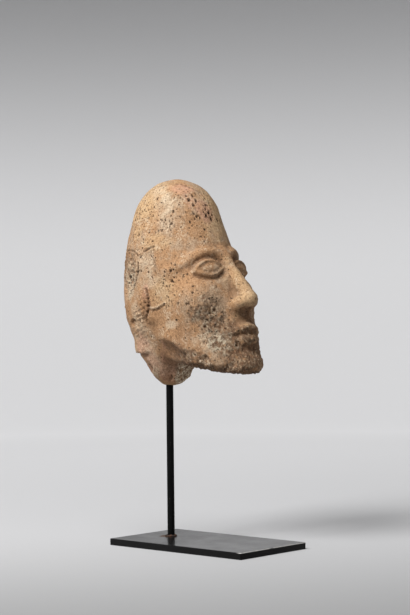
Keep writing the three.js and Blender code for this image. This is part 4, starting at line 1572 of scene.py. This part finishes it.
@dataclass
class Studio:
    """Closed round sweep of pale paper that glows softly, with soft lights inside."""

    radius: float = 3.2
    curve: float = 1.5
    wall: float = 2.6
    glow: float = 0.45
    front: float = -48.0
    surround: float = 0.8
    surround_strength: float = 0.4
    lamps: tuple[Lamp, ...] = (
        Lamp("key", -93, 42, 1.9, 0.7, 50),
        Lamp("top", -60, 66, 1.9, 0.9, 16),
    )

    def paper(self) -> bpy.types.Material:
        """Pale paper, lit from behind: darker high on the wall and on the floor toward one side of the room,
        where its own colour is darker too, a painted shade.

        The light grows along the floor from the side that front points to, and fades with height on the wall.
        """
        t = Tree("pale_paper")
        x, y, z = t.axes()
        a = radians(self.front)
        away = x * -sin(a) + y * cos(a)
        out = (x * x + y * y) ** 0.5
        lit = (away.within(-0.3, 1.4) * 0.85 + out.within(1.2, 2.5)).clamped()
        lit = lit * (0.04 + 0.96 * z.within(1.25, 0.28))
        floor = z.within(0.3, 0.0) * 0.09 / self.glow
        colour = t.mix(lit + (1 - lit) * floor, (0.0, 0.0, 0.0), (self.glow, self.glow, self.glow * 1.01))
        # painted shade: the paper's own colour is darker on the front side of the room
        tone_and_shade = t.mix(away.within(-0.55, 0.15), linear(114, 114, 114), linear(170, 170, 171))
        return t.surface(
            Base_Color=tone_and_shade, Roughness=0.9, Specular_IOR_Level=0.1, Emission_Color=colour, Emission_Strength=1.0,
        )

    def build(self) -> None:
        """Makes the sweep: a floor that turns up into a wall, a profile turned about the middle."""
        a = np.linspace(0, pi / 2, 40)
        r = np.concatenate([[0.2, 0.5, 1.0], self.radius - self.curve + self.curve * np.sin(a), [self.radius]])
        z = np.concatenate([[0.0, 0.0, 0.0], self.curve * (1 - np.cos(a)), [self.wall]])
        rings = circle(0, 0, r / MM, z / MM, 128)
        sweep = skin("sweep", np.array([0.0, 0, 0]), rings, np.array([0, 0, self.wall / MM]))
        sweep.data.materials.append(self.paper())
        for lamp in self.lamps:
            lamp.build()
        world = bpy.data.worlds.new("surround")
        world.use_nodes = True
        inputs = world.node_tree.nodes["Background"].inputs
        inputs["Color"].default_value = (self.surround, self.surround, self.surround, 1)
        inputs["Strength"].default_value = self.surround_strength
        bpy.context.scene.world = world
        bpy.context.scene.view_settings.view_transform = "Standard"


def corners(bounds: tuple) -> list[list[float]]:
    """Two corners as plain lists of numbers."""
    return [[float(v) for v in corner] for corner in bounds]


def main() -> None:
    """Builds the camera, the pieces and the studio, and notes the sizes."""
    logging.basicConfig(level=logging.INFO, format="%(message)s")
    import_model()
    View().build()
    for maker in (ClayHead(), Rod(), Plate(), Weld()):
        piece = maker.build()
        LOG.info("%s: %d faces", piece.name, len(piece.data.polygons))
    Studio().build()


if __name__ == "__main__":
    main()
